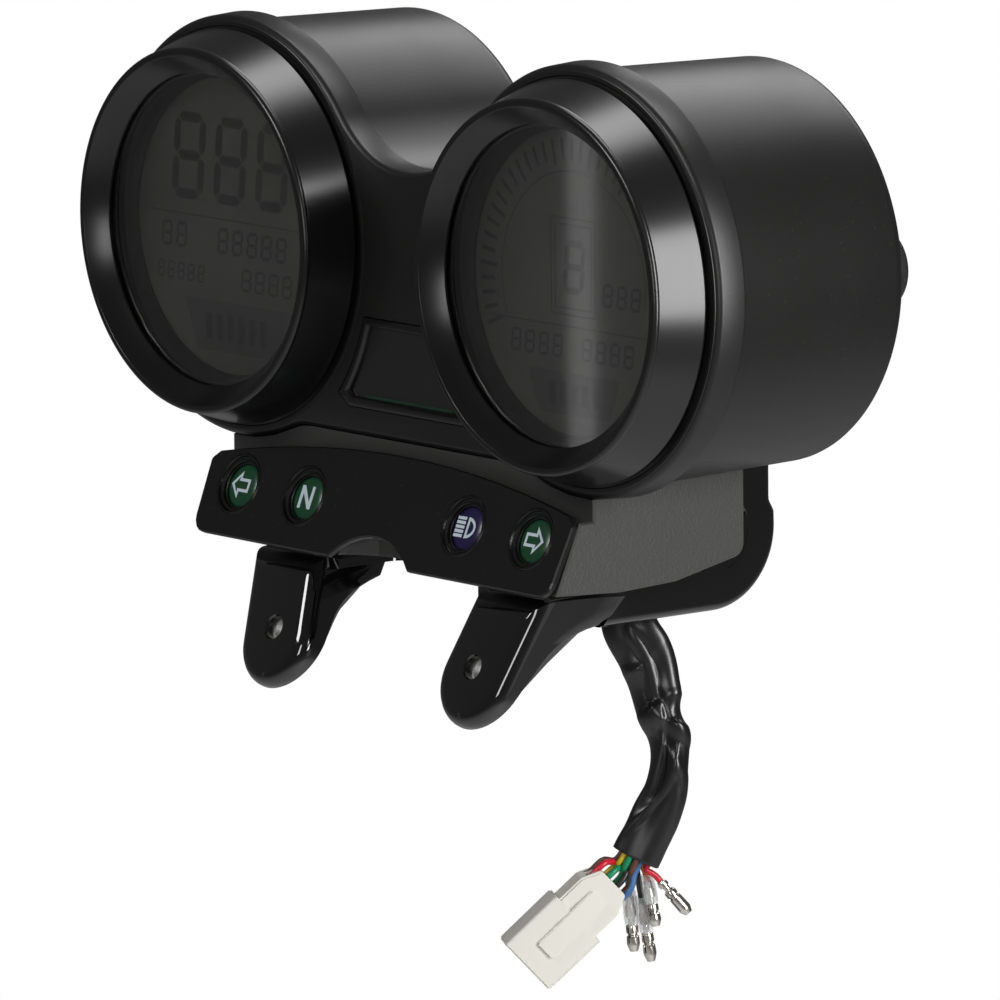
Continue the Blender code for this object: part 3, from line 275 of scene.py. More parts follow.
def boolean(target: Obj, tools: Sequence[Obj],
            operation: str = "DIFFERENCE", smooth: float = 32.0) -> Obj:
    """Apply Booleans and drop the tools.

    Args:
        target: Object that is changed.
        tools: Cutters or pieces to add.
        operation: DIFFERENCE or UNION.
        smooth: Smoothing angle of the result.

    Returns:
        The target, with a new mesh.
    """
    for tool in tools:
        step = target.modifiers.new("step", "BOOLEAN")
        step.operation = operation
        step.solver = "EXACT"
        step.object = tool
    bpy.context.view_layer.update()
    graph = bpy.context.evaluated_depsgraph_get()
    result = bpy.data.meshes.new_from_object(target.evaluated_get(graph))
    target.modifiers.clear()
    target.data = result
    for tool in tools:
        bpy.data.objects.remove(tool, do_unlink=True)
    result.shade_smooth()
    result.set_sharp_from_angle(angle=radians(smooth))
    return target


# ---------------------------------------------------------------- node groups
class Wiring:
    """Short-hand for adding and joining nodes in one tree."""

    def __init__(self, tree: bpy.types.NodeTree) -> None:
        """Keep the tree."""
        self.tree = tree
        self.column = 0

    def add(self, kind: str, **settings: object) -> bpy.types.Node:
        """Add a node.

        Args:
            kind: Blender's node type.
            settings: Attributes to set on it.

        Returns:
            The node.
        """
        node = self.tree.nodes.new(kind)
        node.location = (self.column * 190 - 900, -(self.column % 3) * 160)
        self.column += 1
        for key, value in settings.items():
            setattr(node, key, value)
        return node

    def link(self, start: Socket, end: Socket) -> None:
        """Join two sockets."""
        self.tree.links.new(start, end)

    def math(self, operation: str, first: object, second: object = 0.5) -> Socket:
        """Add a Math node.

        Args:
            operation: Its operation.
            first: A socket or a number.
            second: A socket or a number.

        Returns:
            The node's value socket.
        """
        node = self.add("ShaderNodeMath", operation=operation)
        for slot, value in zip(node.inputs, (first, second)):
            if isinstance(value, Socket):
                self.link(value, slot)
            else:
                slot.default_value = value
        return node.outputs[0]

    def noise(self, position: Socket, scale: object, detail: float = 3.0,
              rough: float = 0.55) -> Socket:
        """Add a Noise texture.

        Args:
            position: Where it is read.
            scale: A socket or a number.
            detail: Octaves.
            rough: How much of the fine octaves stays.

        Returns:
            The noise value.
        """
        node = self.add("ShaderNodeTexNoise")
        node.inputs["Detail"].default_value = detail
        node.inputs["Roughness"].default_value = rough
        if isinstance(scale, Socket):
            self.link(scale, node.inputs["Scale"])
        else:
            node.inputs["Scale"].default_value = scale
        self.link(position, node.inputs["Vector"])
        return node.outputs["Fac"]


    def tone(self, colour: Socket, value: Socket) -> Socket:
        """Scale a colour's brightness.

        Args:
            colour: The colour.
            value: How bright it becomes, where 1 keeps it.

        Returns:
            The scaled colour.
        """
        node = self.add("ShaderNodeHueSaturation")
        self.link(colour, node.inputs["Color"])
        self.link(value, node.inputs["Value"])
        return node.outputs["Color"]

    def white_seen(self, share: float) -> Socket:
        """How much of a white surround a ray sees.

        Args:
            share: The part that gloss and glass see.

        Returns:
            1 for camera rays, the share for glossy and transmitted ones, else 0.
        """
        path = self.add("ShaderNodeLightPath")
        other = self.math("MAXIMUM", path.outputs["Is Glossy Ray"],
                          path.outputs["Is Transmission Ray"])
        part = self.math("MULTIPLY", other, share)
        return self.math("MAXIMUM", path.outputs["Is Camera Ray"], part)

    def mix(self, part: Socket, first: Socket, second: Socket, surface: Socket) -> None:
        """Blend two shaders into a material's or a world's surface.

        Args:
            part: How much of the second shows.
            first: The first shader.
            second: The second shader.
            surface: The output's socket.
        """
        node = self.add("ShaderNodeMixShader")
        for start, end in zip((part, first, second), node.inputs):
            self.link(start, end)
        self.link(node.outputs[0], surface)


SURFACE_OUTPUTS = {"Colour": "NodeSocketColor", "Roughness": "NodeSocketFloat",
                   "Height": "NodeSocketFloat"}


def new_group(name: str, inputs: dict[str, object]) -> tuple[
        bpy.types.NodeTree, bpy.types.Node, bpy.types.Node, Wiring]:
    """Make an empty shader node group that gives colour, roughness and height.

    Args:
        name: Group name.
        inputs: Socket names with their defaults; a tuple is a colour.

    Returns:
        The tree, its input node, its output node and its wiring.
    """
    tree = bpy.data.node_groups.new(name, "ShaderNodeTree")
    for key, value in inputs.items():
        kind = "NodeSocketColor" if isinstance(value, tuple) else "NodeSocketFloat"
        socket = tree.interface.new_socket(key, in_out="INPUT", socket_type=kind)
        socket.default_value = value
    for key, kind in SURFACE_OUTPUTS.items():
        tree.interface.new_socket(key, in_out="OUTPUT", socket_type=kind)
    wiring = Wiring(tree)
    return tree, wiring.add("NodeGroupInput"), wiring.add("NodeGroupOutput"), wiring


def moulded_grain_group() -> bpy.types.NodeTree:
    """Spark-eroded mould grain: fine pits, slow mottling and a little dust.

    Returns:
        The node group.
    """
    tree, given, out, w = new_group(
        "Moulded grain",
        {"Colour": (0.03, 0.03, 0.03, 1.0), "Roughness": 0.5, "Grain Scale": 2500.0,
         "Mottle": 0.1, "Dust": 0.02})
    place = w.add("ShaderNodeTexCoord").outputs["Object"]
    grain = w.noise(place, given.outputs["Grain Scale"], 2.0, 0.6)
    slow = w.noise(place, 38.0, 4.0, 0.6)
    specks = w.noise(place, 900.0, 1.0, 0.4)
    spread = w.math("MULTIPLY", w.math("SUBTRACT", slow, 0.5), given.outputs["Mottle"])
    shade = w.math("ADD", w.math("MULTIPLY", spread, 2.0), 1.0)
    fleck = w.add("ShaderNodeMapRange")
    fleck.inputs["From Min"].default_value = 0.70
    fleck.inputs["From Max"].default_value = 0.78
    w.link(specks, fleck.inputs["Value"])
    dust = w.math("MULTIPLY", fleck.outputs["Result"], given.outputs["Dust"])
    mix = w.add("ShaderNodeMix", data_type="RGBA")
    mix.inputs[7].default_value = (0.42, 0.40, 0.37, 1.0)
    w.link(dust, mix.inputs[0])
    w.link(w.tone(given.outputs["Colour"], shade), mix.inputs[6])
    w.link(mix.outputs[2], out.inputs["Colour"])
    rough = w.math("ADD", given.outputs["Roughness"], w.math("MULTIPLY", spread, 0.6))
    w.link(rough, out.inputs["Roughness"])
    w.link(grain, out.inputs["Height"])
    return tree


def polished_wear_group() -> bpy.types.NodeTree:
    """Gloss surface: faint hairlines, haze and long low ripples.

    Returns:
        The node group.
    """
    tree, given, out, w = new_group(
        "Polished wear",
        {"Colour": (0.01, 0.01, 0.01, 1.0), "Roughness": 0.1, "Haze": 0.05,
         "Ripple Scale": 60.0})
    place = w.add("ShaderNodeTexCoord").outputs["Object"]
    slow = w.noise(place, 24.0, 3.0, 0.5)
    stretch = w.add("ShaderNodeMapping")
    stretch.inputs["Scale"].default_value = (90.0, 1400.0, 260.0)
    w.link(place, stretch.inputs["Vector"])
    lines = w.noise(stretch.outputs["Vector"], 1.0, 2.0, 0.7)
    hair = w.math("POWER", lines, 6.0)
    haze = w.math("MULTIPLY", w.math("ADD", slow, hair), given.outputs["Haze"])
    w.link(w.math("ADD", given.outputs["Roughness"], haze), out.inputs["Roughness"])
    shade = w.math("ADD", w.math("MULTIPLY", slow, 0.3), 0.85)
    w.link(w.tone(given.outputs["Colour"], shade), out.inputs["Colour"])
    w.link(w.noise(place, given.outputs["Ripple Scale"], 1.0, 0.3), out.inputs["Height"])
    return tree


def plated_metal_group() -> bpy.types.NodeTree:
    """Plated steel or tin: cloudy tone, drawn streaks and dull spots.

    Returns:
        The node group.
    """
    tree, given, out, w = new_group(
        "Plated metal",
        {"Colour": (0.6, 0.6, 0.58, 1.0), "Roughness": 0.3, "Streak Scale": 900.0})
    place = w.add("ShaderNodeTexCoord").outputs["Object"]
    cloud = w.noise(place, 320.0, 4.0, 0.6)
    streak = w.noise(place, given.outputs["Streak Scale"], 2.0, 0.7)
    shade = w.math("ADD", w.math("MULTIPLY", cloud, 0.5), 0.72)
    w.link(w.tone(given.outputs["Colour"], shade), out.inputs["Colour"])
    haze = w.math("MULTIPLY", w.math("SUBTRACT", cloud, 0.45), 0.35)
    w.link(w.math("ADD", given.outputs["Roughness"], haze), out.inputs["Roughness"])
    w.link(streak, out.inputs["Height"])
    return tree


class Effect(Enum):
    """Shared surface effects that a finish can use."""

    GRAIN = "Moulded grain"
    POLISH = "Polished wear"
    PLATE = "Plated metal"

    def tree(self) -> bpy.types.NodeTree:
        """The effect's node group, built on first use.

        Returns:
            The node group.
        """
        if self.value in bpy.data.node_groups:
            return bpy.data.node_groups[self.value]
        return {
            Effect.GRAIN: moulded_grain_group,
            Effect.POLISH: polished_wear_group,
            Effect.PLATE: plated_metal_group,
        }[self]()


# ------------------------------------------------------------------- finishes
NYLON_SCATTER = (0.002, 0.002, 0.0018)


@dataclass(frozen=True)
class Finish:
    """One surface finish: a Principled shader fed by a shared effect.

    Attributes:
        name: Material name.
        colour: Base colour.
        rough: Roughness.
        effect: The shared effect.
        settings: Further inputs of that effect.
        depth: Bump distance in metres.
        strength: Bump strength.
        metal: Metallic value.
        coat: Coat weight.
        coat_rough: Coat roughness.
        specular: Specular level.
        glass: Transmission weight.
        alpha: Opacity.
        subsurface: Subsurface weight.
        glow: Emission strength in the base colour.
    """

    name: str
    colour: Colour
    rough: float
    effect: Effect = Effect.GRAIN
    settings: tuple[tuple[str, float], ...] = ()
    depth: float = 0.00004
    strength: float = 0.3
    metal: float = 0.0
    coat: float = 0.0
    coat_rough: float = 0.05
    specular: float = 0.5
    glass: float = 0.0
    alpha: float = 1.0
    subsurface: float = 0.0
    glow: float = 0.0

    def material(self) -> bpy.types.Material:
        """Build the material, or return it if it exists.

        Returns:
            The material.
        """
        if self.name in bpy.data.materials:
            return bpy.data.materials[self.name]
        mat = bpy.data.materials.new(self.name)
        mat.use_nodes = True
        w = Wiring(mat.node_tree)
        shader = mat.node_tree.nodes["Principled BSDF"]
        group = w.add("ShaderNodeGroup")
        group.node_tree = self.effect.tree()
        group.inputs["Colour"].default_value = (*self.colour, 1.0)
        group.inputs["Roughness"].default_value = self.rough
        for key, value in self.settings:
            group.inputs[key].default_value = value
        w.link(group.outputs["Colour"], shader.inputs["Base Color"])
        w.link(group.outputs["Roughness"], shader.inputs["Roughness"])
        bump = w.add("ShaderNodeBump")
        bump.inputs["Strength"].default_value = self.strength
        bump.inputs["Distance"].default_value = self.depth
        w.link(group.outputs["Height"], bump.inputs["Height"])
        w.link(bump.outputs["Normal"], shader.inputs["Normal"])
        plain = {
            "Metallic": self.metal, "Coat Weight": self.coat,
            "Coat Roughness": self.coat_rough, "Specular IOR Level": self.specular,
            "Transmission Weight": self.glass, "Alpha": self.alpha,
            "Subsurface Weight": self.subsurface, "Subsurface Radius": NYLON_SCATTER,
            "Subsurface Scale": 1.0}
        if self.glow:
            plain["Emission Color"] = (*self.colour, 1.0)
            plain["Emission Strength"] = self.glow
        for key, value in plain.items():
            shader.inputs[key].default_value = value
        return mat


def grain(name: str, colour: Colour, rough: float, scale: float, depth: float,
          mottle: float = 0.12, dust: float = 0.03, **more: float) -> Finish:
    """A moulded plastic or rubber finish.

    Args:
        name: Material name.
        colour: Base colour.
        rough: Roughness.
        scale: Grain frequency per metre.
        depth: Grain depth in metres.
        mottle: Slow tone variation.
        dust: How strong single specks of dust show.
        more: Other Finish fields.

    Returns:
        The finish.
    """
    return Finish(name, colour, rough, Effect.GRAIN,
                  (("Grain Scale", scale), ("Mottle", mottle), ("Dust", dust)), depth,
                  **more)


HOUSING_SKIN = grain("housing_texture", (0.0065, 0.0065, 0.0062), 0.38, 2600.0, 0.00006,
                     0.10, 0.03, strength=0.32, specular=0.5)
CASE_SKIN = grain("case_texture", (0.046, 0.046, 0.0445), 0.46, 1500.0, 0.00013,
                  0.08, 0.03, strength=0.90, specular=0.60)
PANEL_SKIN = grain("panel_satin", (0.0045, 0.0048, 0.0046), 0.30, 3800.0, 0.00002,
                   0.10, 0.05, strength=0.14, specular=0.5)
PIANO = Finish("piano_black", (0.0026, 0.0026, 0.0026), 0.022, Effect.POLISH,
               (("Haze", 0.015), ("Ripple Scale", 45.0)), 0.00010, 0.02, coat=0.6,
               specular=0.6)
STEEL_PAINT = Finish("bracket_paint", (0.0030, 0.0034, 0.0030), 0.05, Effect.POLISH,
                     (("Haze", 0.03), ("Ripple Scale", 130.0)), 0.00022, 0.12, coat=0.9,
                     coat_rough=0.06, specular=0.6)
SHROUD_SKIN = grain("shroud_matt", (0.0080, 0.0080, 0.0080), 0.40, 3000.0, 0.00002,
                    strength=0.2)
ZINC = Finish("zinc_plate", (0.62, 0.62, 0.60), 0.28, Effect.PLATE, (), 0.00003, 0.3,
              metal=1.0)
TIN = Finish("tin_plate", (0.74, 0.71, 0.66), 0.17, Effect.PLATE, (("Streak Scale", 1500.0),),
             0.00002, 0.25, metal=1.0)
RUBBER = grain("rubber", (0.014, 0.014, 0.014), 0.42, 1500.0, 0.00003, 0.12, 0.08,
               strength=0.2)
VINYL = Finish("vinyl_sleeve", (0.0042, 0.0041, 0.0039), 0.26, Effect.POLISH,
               (("Haze", 0.10), ("Ripple Scale", 260.0)), 0.00012, 0.12, specular=0.75)
NYLON = grain("natural_nylon", (0.195, 0.184, 0.174), 0.36, 900.0, 0.00003, 0.05, 0.02,
              strength=0.2, subsurface=0.35)
BOARD = grain("circuit_board", (0.02, 0.12, 0.05), 0.4, 1200.0, 0.00002)
DIFFUSER = grain("light_guide", (0.78, 0.78, 0.75), 0.5, 900.0, 0.00002, 0.04, 0.0)
GREEN_LENS = grain("green_lens", (0.0010, 0.0085, 0.0040), 0.16, 900.0, 0.00001, 0.25, 0.02,
                   strength=0.1, coat=0.5)
BLUE_LENS = grain("blue_lens", (0.0032, 0.0024, 0.0090), 0.16, 900.0, 0.00001, 0.25, 0.02,
                  strength=0.1, coat=0.5)
# Symbol marks glow faintly in their own colour: a painted glow, since the warning lamps are
# unlit.
SYMBOL_PAINTED_GLOW = grain("lamp_symbol_painted_glow", (0.62, 0.72, 0.78), 0.30, 1200.0, 0.00001, 0.05, 0.0,
               strength=0.1, glow=0.10)
DIAL = grain("display_dark", (0.085, 0.085, 0.080), 0.30, 700.0, 0.00001, 0.14, 0.02,
             strength=0.05, specular=0.40)
DIAL_MASK = grain("display_mask", (0.055, 0.055, 0.052), 0.32, 900.0, 0.00001, 0.10, 0.02,
                  strength=0.05, specular=0.40)
SEGMENT = grain("display_segment", (0.026, 0.026, 0.025), 0.30, 900.0, 0.00001, 0.10,
                0.0, strength=0.05, specular=0.40)
WINDOW = Finish("display_window", (0.97, 0.98, 0.97), 0.015, Effect.POLISH,
                (("Haze", 0.02), ("Ripple Scale", 20.0)), 0.00001, 0.01, glass=1.0)
SMOKE = Finish("smoked_pane", (0.0075, 0.0085, 0.008), 0.10, Effect.POLISH,
               (("Haze", 0.16), ("Ripple Scale", 60.0)), 0.00004, 0.04, coat=0.3)
GREEN_TRACE = grain("pane_tint", (0.010, 0.045, 0.022), 0.3, 900.0, 0.00001)
THREAD = Finish("nut_thread", (0.95, 0.95, 0.92), 0.55, Effect.PLATE, (), 0.00002, 0.2,
                metal=1.0)
BOOT = Finish("clear_boot", (0.86, 0.88, 0.90), 0.12, Effect.POLISH,
              (("Haze", 0.10), ("Ripple Scale", 500.0)), 0.00003, 0.15, alpha=0.24)


def wire_finish(name: str, colour: Colour) -> Finish:
    """Insulation of one wire colour."""
    return Finish(f"insulation_{name}", colour, 0.30, Effect.POLISH,
                  (("Haze", 0.10), ("Ripple Scale", 700.0)), 0.00003, 0.15)


# ------------------------------------------------------------------ placement
def seat(offset: Sequence[float] = (0.0, 0.0, 0.0), tilt: float = 0.0) -> Matrix:
    """Place from the cluster's own axes.

    Args:
        offset: Position from the middle of the pod axes, at the lip face.
        tilt: Lean about X, in radians.

    Returns:
        The matrix.
    """
    return Matrix.Translation(ORIGIN + Vector(offset)) @ Matrix.Rotation(tilt, 4, "X")


@dataclass
class Assembly:
    """Base of every sub-assembly: makes, dresses and reports its pieces."""

    def dress(self, obj: Obj, finish: Finish, *nodes: str, slot: str = "") -> Obj:
        """Give a piece its finish and fix it to the body.

        Args:
            obj: The piece.
            finish: Its finish.
            nodes: CAD nodes that it stands for.
            slot: Not used.

        Returns:
            The piece.
        """
        obj.data.materials.clear()
        obj.data.materials.append(finish.material())
        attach(obj, BODY)
        if nodes:
            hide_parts(*nodes)
        log.info("%s: %s", type(self).__name__, obj.name)
        return obj

    def turn(self, name: str, profile: Sequence[Point2], steps: int, at: Matrix,
             smooth: float, finish: Finish, *nodes: str, slot: str = "") -> Obj:
        """Make and dress a turned piece.

        Args:
            name: Piece name.
            profile: Points as radius and depth.
            steps: Sides of the circle.
            at: Its axes.
            smooth: Smoothing angle in degrees.
            finish: Its finish.
            nodes: CAD nodes that it stands for.
            slot: Passed on to dress, which does not use it.

        Returns:
            The piece.
        """
        obj = make_object(name, turned(profile, steps), at, smooth)
        return self.dress(obj, finish, *nodes, slot=slot)

    def paint(self, finish: Finish, *nodes: str) -> None:
        """Give CAD nodes a finish and keep their shape.

        Args:
            finish: The finish.
            nodes: The nodes.
        """
        for name in nodes:
            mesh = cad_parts[name].data
            mesh.materials.clear()
            mesh.materials.append(finish.material())
            log.info("%s: %s keeps its shape", type(self).__name__, name)


# -------------------------------------------------------------------- housing
@dataclass
class Housing(Assembly):
    """Twin moulded housing with its lip band, saddle and rear details."""

    lip_r: float = 0.0560
    lip_depth: float = 0.0087
    band_step: float = 0.0019
    draft: float = 0.0013
    depth: float = 0.0660
    rear_fillet: float = 0.0040
    saddle_r: float = 0.0340
    bottom_drop: float = 0.0500
    bottom_fillet: float = 0.0200
    bore_r: float = 0.0500

    def outline(self, inset: float) -> list[Point2]:
        """Outline of the two pods and the saddle.

        Args:
            inset: How far it is pulled in.

        Returns:
            Points in X and Z.
        """
        half = HALF_SPACING
        r = self.lip_r - inset
        top_z = sqrt((self.lip_r + self.saddle_r) ** 2 - half ** 2)
        low_z = -(self.bottom_drop + self.bottom_fillet)
        low_x = half - sqrt((self.lip_r + self.bottom_fillet) ** 2 - low_z ** 2)
        to_top = atan2(top_z, -half)
        to_low = atan2(low_z, low_x - half)
        right = arc(half, 0.0, r, to_low, to_top, 132)
        saddle = arc(0.0, top_z, self.saddle_r + inset, to_top - pi, -pi / 2, 20)
        fillet = arc(low_x, low_z, self.bottom_fillet + inset, pi / 2, to_low + pi, 12)
        one = right + saddle[1:-1]
        middle = [(0.0, top_z - self.saddle_r - inset)]
        left_top = [(-x, z) for x, z in reversed(one)]
        low_right = fillet[:-1]
        low_left = [(-x, z) for x, z in reversed(low_right)]
        return one + middle + left_top + low_left + low_right

    def sections(self) -> list[tuple[float, float]]:
        """Depth and inset of each ring from the lip face to the rear.

        Returns:
            Pairs of depth and inset.
        """
        rings = [(0.0, 0.0016), (0.00025, 0.0010), (0.0008, 0.0003), (0.0015, 0.0)]
        rings += [(self.lip_depth - 0.0007, -0.0004), (self.lip_depth - 0.0002, -0.0001),
                  (self.lip_depth, 0.0004)]
        body = self.band_step
        rings += [(self.lip_depth + 0.0001, body - 0.0006),
                  (self.lip_depth + 0.0007, body)]
        tail = body + self.draft
        turn = self.depth - self.rear_fillet
        rings += [(self.lip_depth + (turn - self.lip_depth) * t,
                   body + self.draft * t) for t in (0.33, 0.66, 1.0)]
        for i in range(1, 9):
            a = pi / 2 * i / 8
            rings.append((turn + self.rear_fillet * sin(a),
                          tail + self.rear_fillet * (1 - cos(a))))
        return rings

    def build(self, window: "CentreWindow") -> None:
        """Skin the outer form and open the pods and the window.

        Args:
            window: The centre window, whose outline is cut out.
        """
        rings = [[(x, y, z) for x, z in self.outline(inset)] for y, inset in self.sections()]
        shell = make_object("housing_shell", lofted(rings), seat(), 30.0)
        tools = []
        for side in (-1, 1):
            tools.append(make_object("bore", cylinder(self.bore_r, -0.01, 0.0625, 160),
                                     seat((side * HALF_SPACING, 0, 0))))
        tools.append(make_object("opening", prism(window.outline(-0.0003), -0.01, 0.006),
                                 seat()))
        boolean(shell, tools, smooth=30.0)
        necks = [
            make_object("neck", turned([(0.0, 0.0655), (0.0092, 0.0655), (0.0080, 0.0670),
                                        (0.0078, 0.0740), (0.0, 0.0740)], 64),
                        seat((0.0975, 0.0, -0.0010))),
            make_object("boss", turned([(0.0, 0.0655), (0.0090, 0.0655), (0.0079, 0.0668),
                                        (0.0077, 0.0744), (0.0, 0.0744)], 64),
                        seat((0.0450, 0.0, -0.0440))),
        ]
        boolean(shell, necks, "UNION", 30.0)
        self.dress(shell, HOUSING_SKIN, "housing", slot="housing_black")
        self.build_lip_grooves()
        self.paint(ZINC, *[f"case_screw_{side}_{n}" for side in ("left", "right")
                           for n in (1, 2, 3)])

    def build_lip_grooves(self) -> None:
        """Shadow lines on the lip face round each bezel."""
        for name, side in (("left", -1), ("right", 1)):
            self.turn(f"lip_land_{name}", [
                (0.05290, -0.00002), (0.05320, -0.00022), (0.05400, -0.00026),
                (0.05440, -0.00016), (0.05450, 0.0001), (0.05290, 0.0001),
            ], 180, seat((side * HALF_SPACING, 0, 0)), 20.0, HOUSING_SKIN,
                slot="housing_black")


# -------------------------------------------------------------- centre window
@dataclass
class CentreWindow(Assembly):
    """Bare window between the pods."""

    top: float = 0.0186
    chin: float = 0.0394
    bottom: float = 0.0426
    half_top: float = 0.0171
    half_chin: float = 0.0279
    half_bottom: float = 0.0235
    border: float = 0.0022

    def outline(self, inset: float) -> list[Point2]:
        """Trapezoid whose sides follow the pods.

        Args:
            inset: How far it is pulled in.

        Returns:
            Points in X and Z.
        """
        half = HALF_SPACING
        top = -self.top - inset
        chin = -self.chin + inset * 0.4
        r_top = hypot(half - self.half_top, self.top) + inset
        r_chin = hypot(half - self.half_chin, self.chin) + inset
        a_top = asin(top / r_top)
        a_chin = asin(chin / r_chin)
        side = []
        for i in range(13):
            t = i / 12
            r = r_top + (r_chin - r_top) * t
            a = a_top + (a_chin - a_top) * t
            side.append((-half + r * cos(a), r * sin(a)))
        left = side + [(-(self.half_bottom - inset * 0.5), -self.bottom + inset)]
        return left + [(-x, z) for x, z in reversed(left)]

    def build(self) -> None:
        """Rounded border, dusty smoked pane and the faint tint at its foot."""
        outer = self.outline(0.0)
        mid = self.outline(0.0006)
        inner = self.outline(self.border)
        sink = self.outline(self.border + 0.0003)
        rings = [[(x, 0.0030, z) for x, z in outer], [(x, -0.0001, z) for x, z in outer],
                 [(x, -0.0004, z) for x, z in mid],
                 [(x, -0.0003, z) for x, z in self.outline(self.border * 0.75)],
                 [(x, 0.0003, z) for x, z in inner], [(x, 0.0012, z) for x, z in sink],
                 [(x, 0.0030, z) for x, z in sink]]
        bm = lofted(rings + [rings[0]], caps=False)
        frame_ring = make_object("window_border", bm, seat(), 35.0)
        self.dress(frame_ring, PIANO, "window_frame", slot="piano_black")
        pane = make_object("window_glass", prism(self.outline(0.0014), 0.0013, 0.0029,
                                                 edge=0.0001), seat())
        self.dress(pane, SMOKE, "window_pane", slot="smoked_pane")
        strip = make_object("window_tint", prism([(-0.0175, -0.0402), (0.0175, -0.0402),
                                                  (0.0182, -0.0394), (-0.0182, -0.0394)],
                                                 0.00122, 0.00128), seat())
        self.dress(strip, GREEN_TRACE, slot="board_green")
        self.paint(BOARD, "window_backplate")


# ----------------------------------------------------------------------- pods
class Face(Enum):
    """Which display a pod shows."""

    SPEED = "left"
    ENGINE = "right"


@dataclass
class Pod(Assembly):
    """Bezel, window, dial ring and display of one pod."""

    face: Face = Face.SPEED
    rim_y: float = -0.0153
    rim_r: float = 0.0485
    cone_r: float = 0.0525
    mouth_r: float = 0.0416
    mouth_drop: float = 0.0048
    dial_y: float = -0.00062
    lean: float = 0.10
    rule: float = 0.00035
    bar_w: float = 0.0026

    def at(self) -> Matrix:
        """The pod's axis."""
        side = -1 if self.face is Face.SPEED else 1
        return seat((side * HALF_SPACING, 0, 0))

    def bezel_profile(self) -> list[Point2]:
        """Outer cone, rolled rim, glossy annulus and spigot.

        Returns:
            Points as radius and depth.
        """
        rim = self.rim_y
        mouth = rim + self.mouth_drop
        foot = [(0.0499, -0.0003), (0.0512, -0.0003), (0.0516, -0.0008), (0.0520, -0.0012),
                (0.0524, -0.0014), (self.cone_r, -0.0019)]
        roll = arc(self.rim_r - 0.0012, rim + 0.0014, 0.0014, radians(14), radians(-92), 12)
        inner = arc(0.04665, rim + 0.00035, 0.00035, radians(-88), radians(-160), 5)
        edge = arc(self.mouth_r + 0.0004, mouth + 0.0004, 0.0004, radians(-130),
                   radians(-180), 5)
        return [(0.0499, 0.0058)] + foot + roll + inner + edge + [
            (self.mouth_r, mouth + 0.0009), (0.0462, mouth + 0.0009), (0.0462, 0.0058)]

    def build(self) -> None:
        """Make the pod from the outside in."""
        side = self.face.value
        self.turn(f"bezel_ring_{side}", self.bezel_profile(), 240, self.at(), 26.0,
                  PIANO, f"bezel_{side}", slot="piano_black")
        self.turn(f"dial_ring_{side}", [
            (0.0410, -0.0070), (0.0414, -0.0072), (0.0460, -0.0072), (0.0460, -0.0008),
            (0.0395, -0.0008), (0.0395, -0.0012), (0.0400, -0.0022), (0.0405, -0.0032),
            (0.0406, -0.0036), (0.0402, -0.0038), (0.0404, -0.0044),
        ], 200, self.at(), 24.0, SHROUD_SKIN, f"shroud_{side}", slot="shroud_black")
        self.turn(f"window_disc_{side}", [
            (0.0, -0.0093), (0.0455, -0.0093), (0.0460, -0.0090), (0.0460, -0.0076),
            (0.0455, -0.0073), (0.0, -0.0073),
        ], 160, self.at(), 30.0, WINDOW, f"lens_{side}", slot="clear_lens")
        self.paint(DIAL, f"lcd_{side}")
        self.paint(DIFFUSER, f"backlight_{side}")
        self.paint(BOARD, f"board_{side}")
        if self.face is Face.SPEED:
            self.build_speed_face()
        else:
            self.build_engine_face()

    # display drawing -----------------------------------------------------
    def plates(self, name: str, shapes: Sequence[Sequence[Point2]], finish: Finish,
               lift: float = 0.00006) -> None:
        """Thin flat shapes on the display, made as one piece.

        Args:
            name: Piece name, without the side.
            shapes: Outlines in X and Z about the pod axis.
            finish: Their finish.
            lift: How far they stand off the display.
        """
        bm = front_faces(shapes, self.dial_y - lift)
        mesh = bpy.data.meshes.new(f"{name}_{self.face.value}")
        bm.to_mesh(mesh)
        bm.free()
        obj = bpy.data.objects.new(f"{name}_{self.face.value}", mesh)
        obj.matrix_world = self.at()
        bpy.context.scene.collection.objects.link(obj)
        self.dress(obj, finish, slot="dial_glass")

    def digit(self, x: float, z: float, w: float, h: float, t: float) -> list[list[Point2]]:
        """The seven segments of one digit.

        Args:
            x: Left edge.
            z: Lower edge.
            w: Width.
            h: Height.
            t: Stroke.

        Returns:
            Seven outlines.
        """
        gap = t * 0.12
        half = h / 2

        def bar(x0: float, z0: float, length: float, upright: bool) -> list[Point2]:
            """One segment with pointed ends.

            Args:
                x0: Where it starts, across.
                z0: Where it starts, up.
                length: Its length.
                upright: Whether it stands.

            Returns:
                Its outline.
            """
            a, b = gap, length - gap
            s = t / 2
            flat = [(a, 0.0), (a + s, s), (b - s, s), (b, 0.0), (b - s, -s), (a + s, -s)]
            if upright:
                flat = [(q, p) for p, q in flat]
            return [(x + x0 + p + (z0 + q) * self.lean, z + z0 + q) for p, q in flat]

        s = t / 2
        return [
            bar(s, s, w - t, False), bar(s, half, w - t, False), bar(s, h - s, w - t, False),
            bar(s, s, half - s, True), bar(s, half, half - s, True),
            bar(w - s, s, half - s, True), bar(w - s, half, half - s, True),
        ]

    def digits(self, x: float, z: float, count: int, w: float, h: float, t: float,
               step: float) -> list[list[Point2]]:
        """A row of unlit digits.

        Args:
            x: Left edge of the first.
            z: Lower edge.
            count: How many.
            w: Width of each.
            h: Height.
            t: Stroke.
            step: Distance from one to the next.

        Returns:
            Their segments.
        """
        out: list[list[Point2]] = []
        for i in range(count):
            out += self.digit(x + i * step, z, w, h, t)
        return out

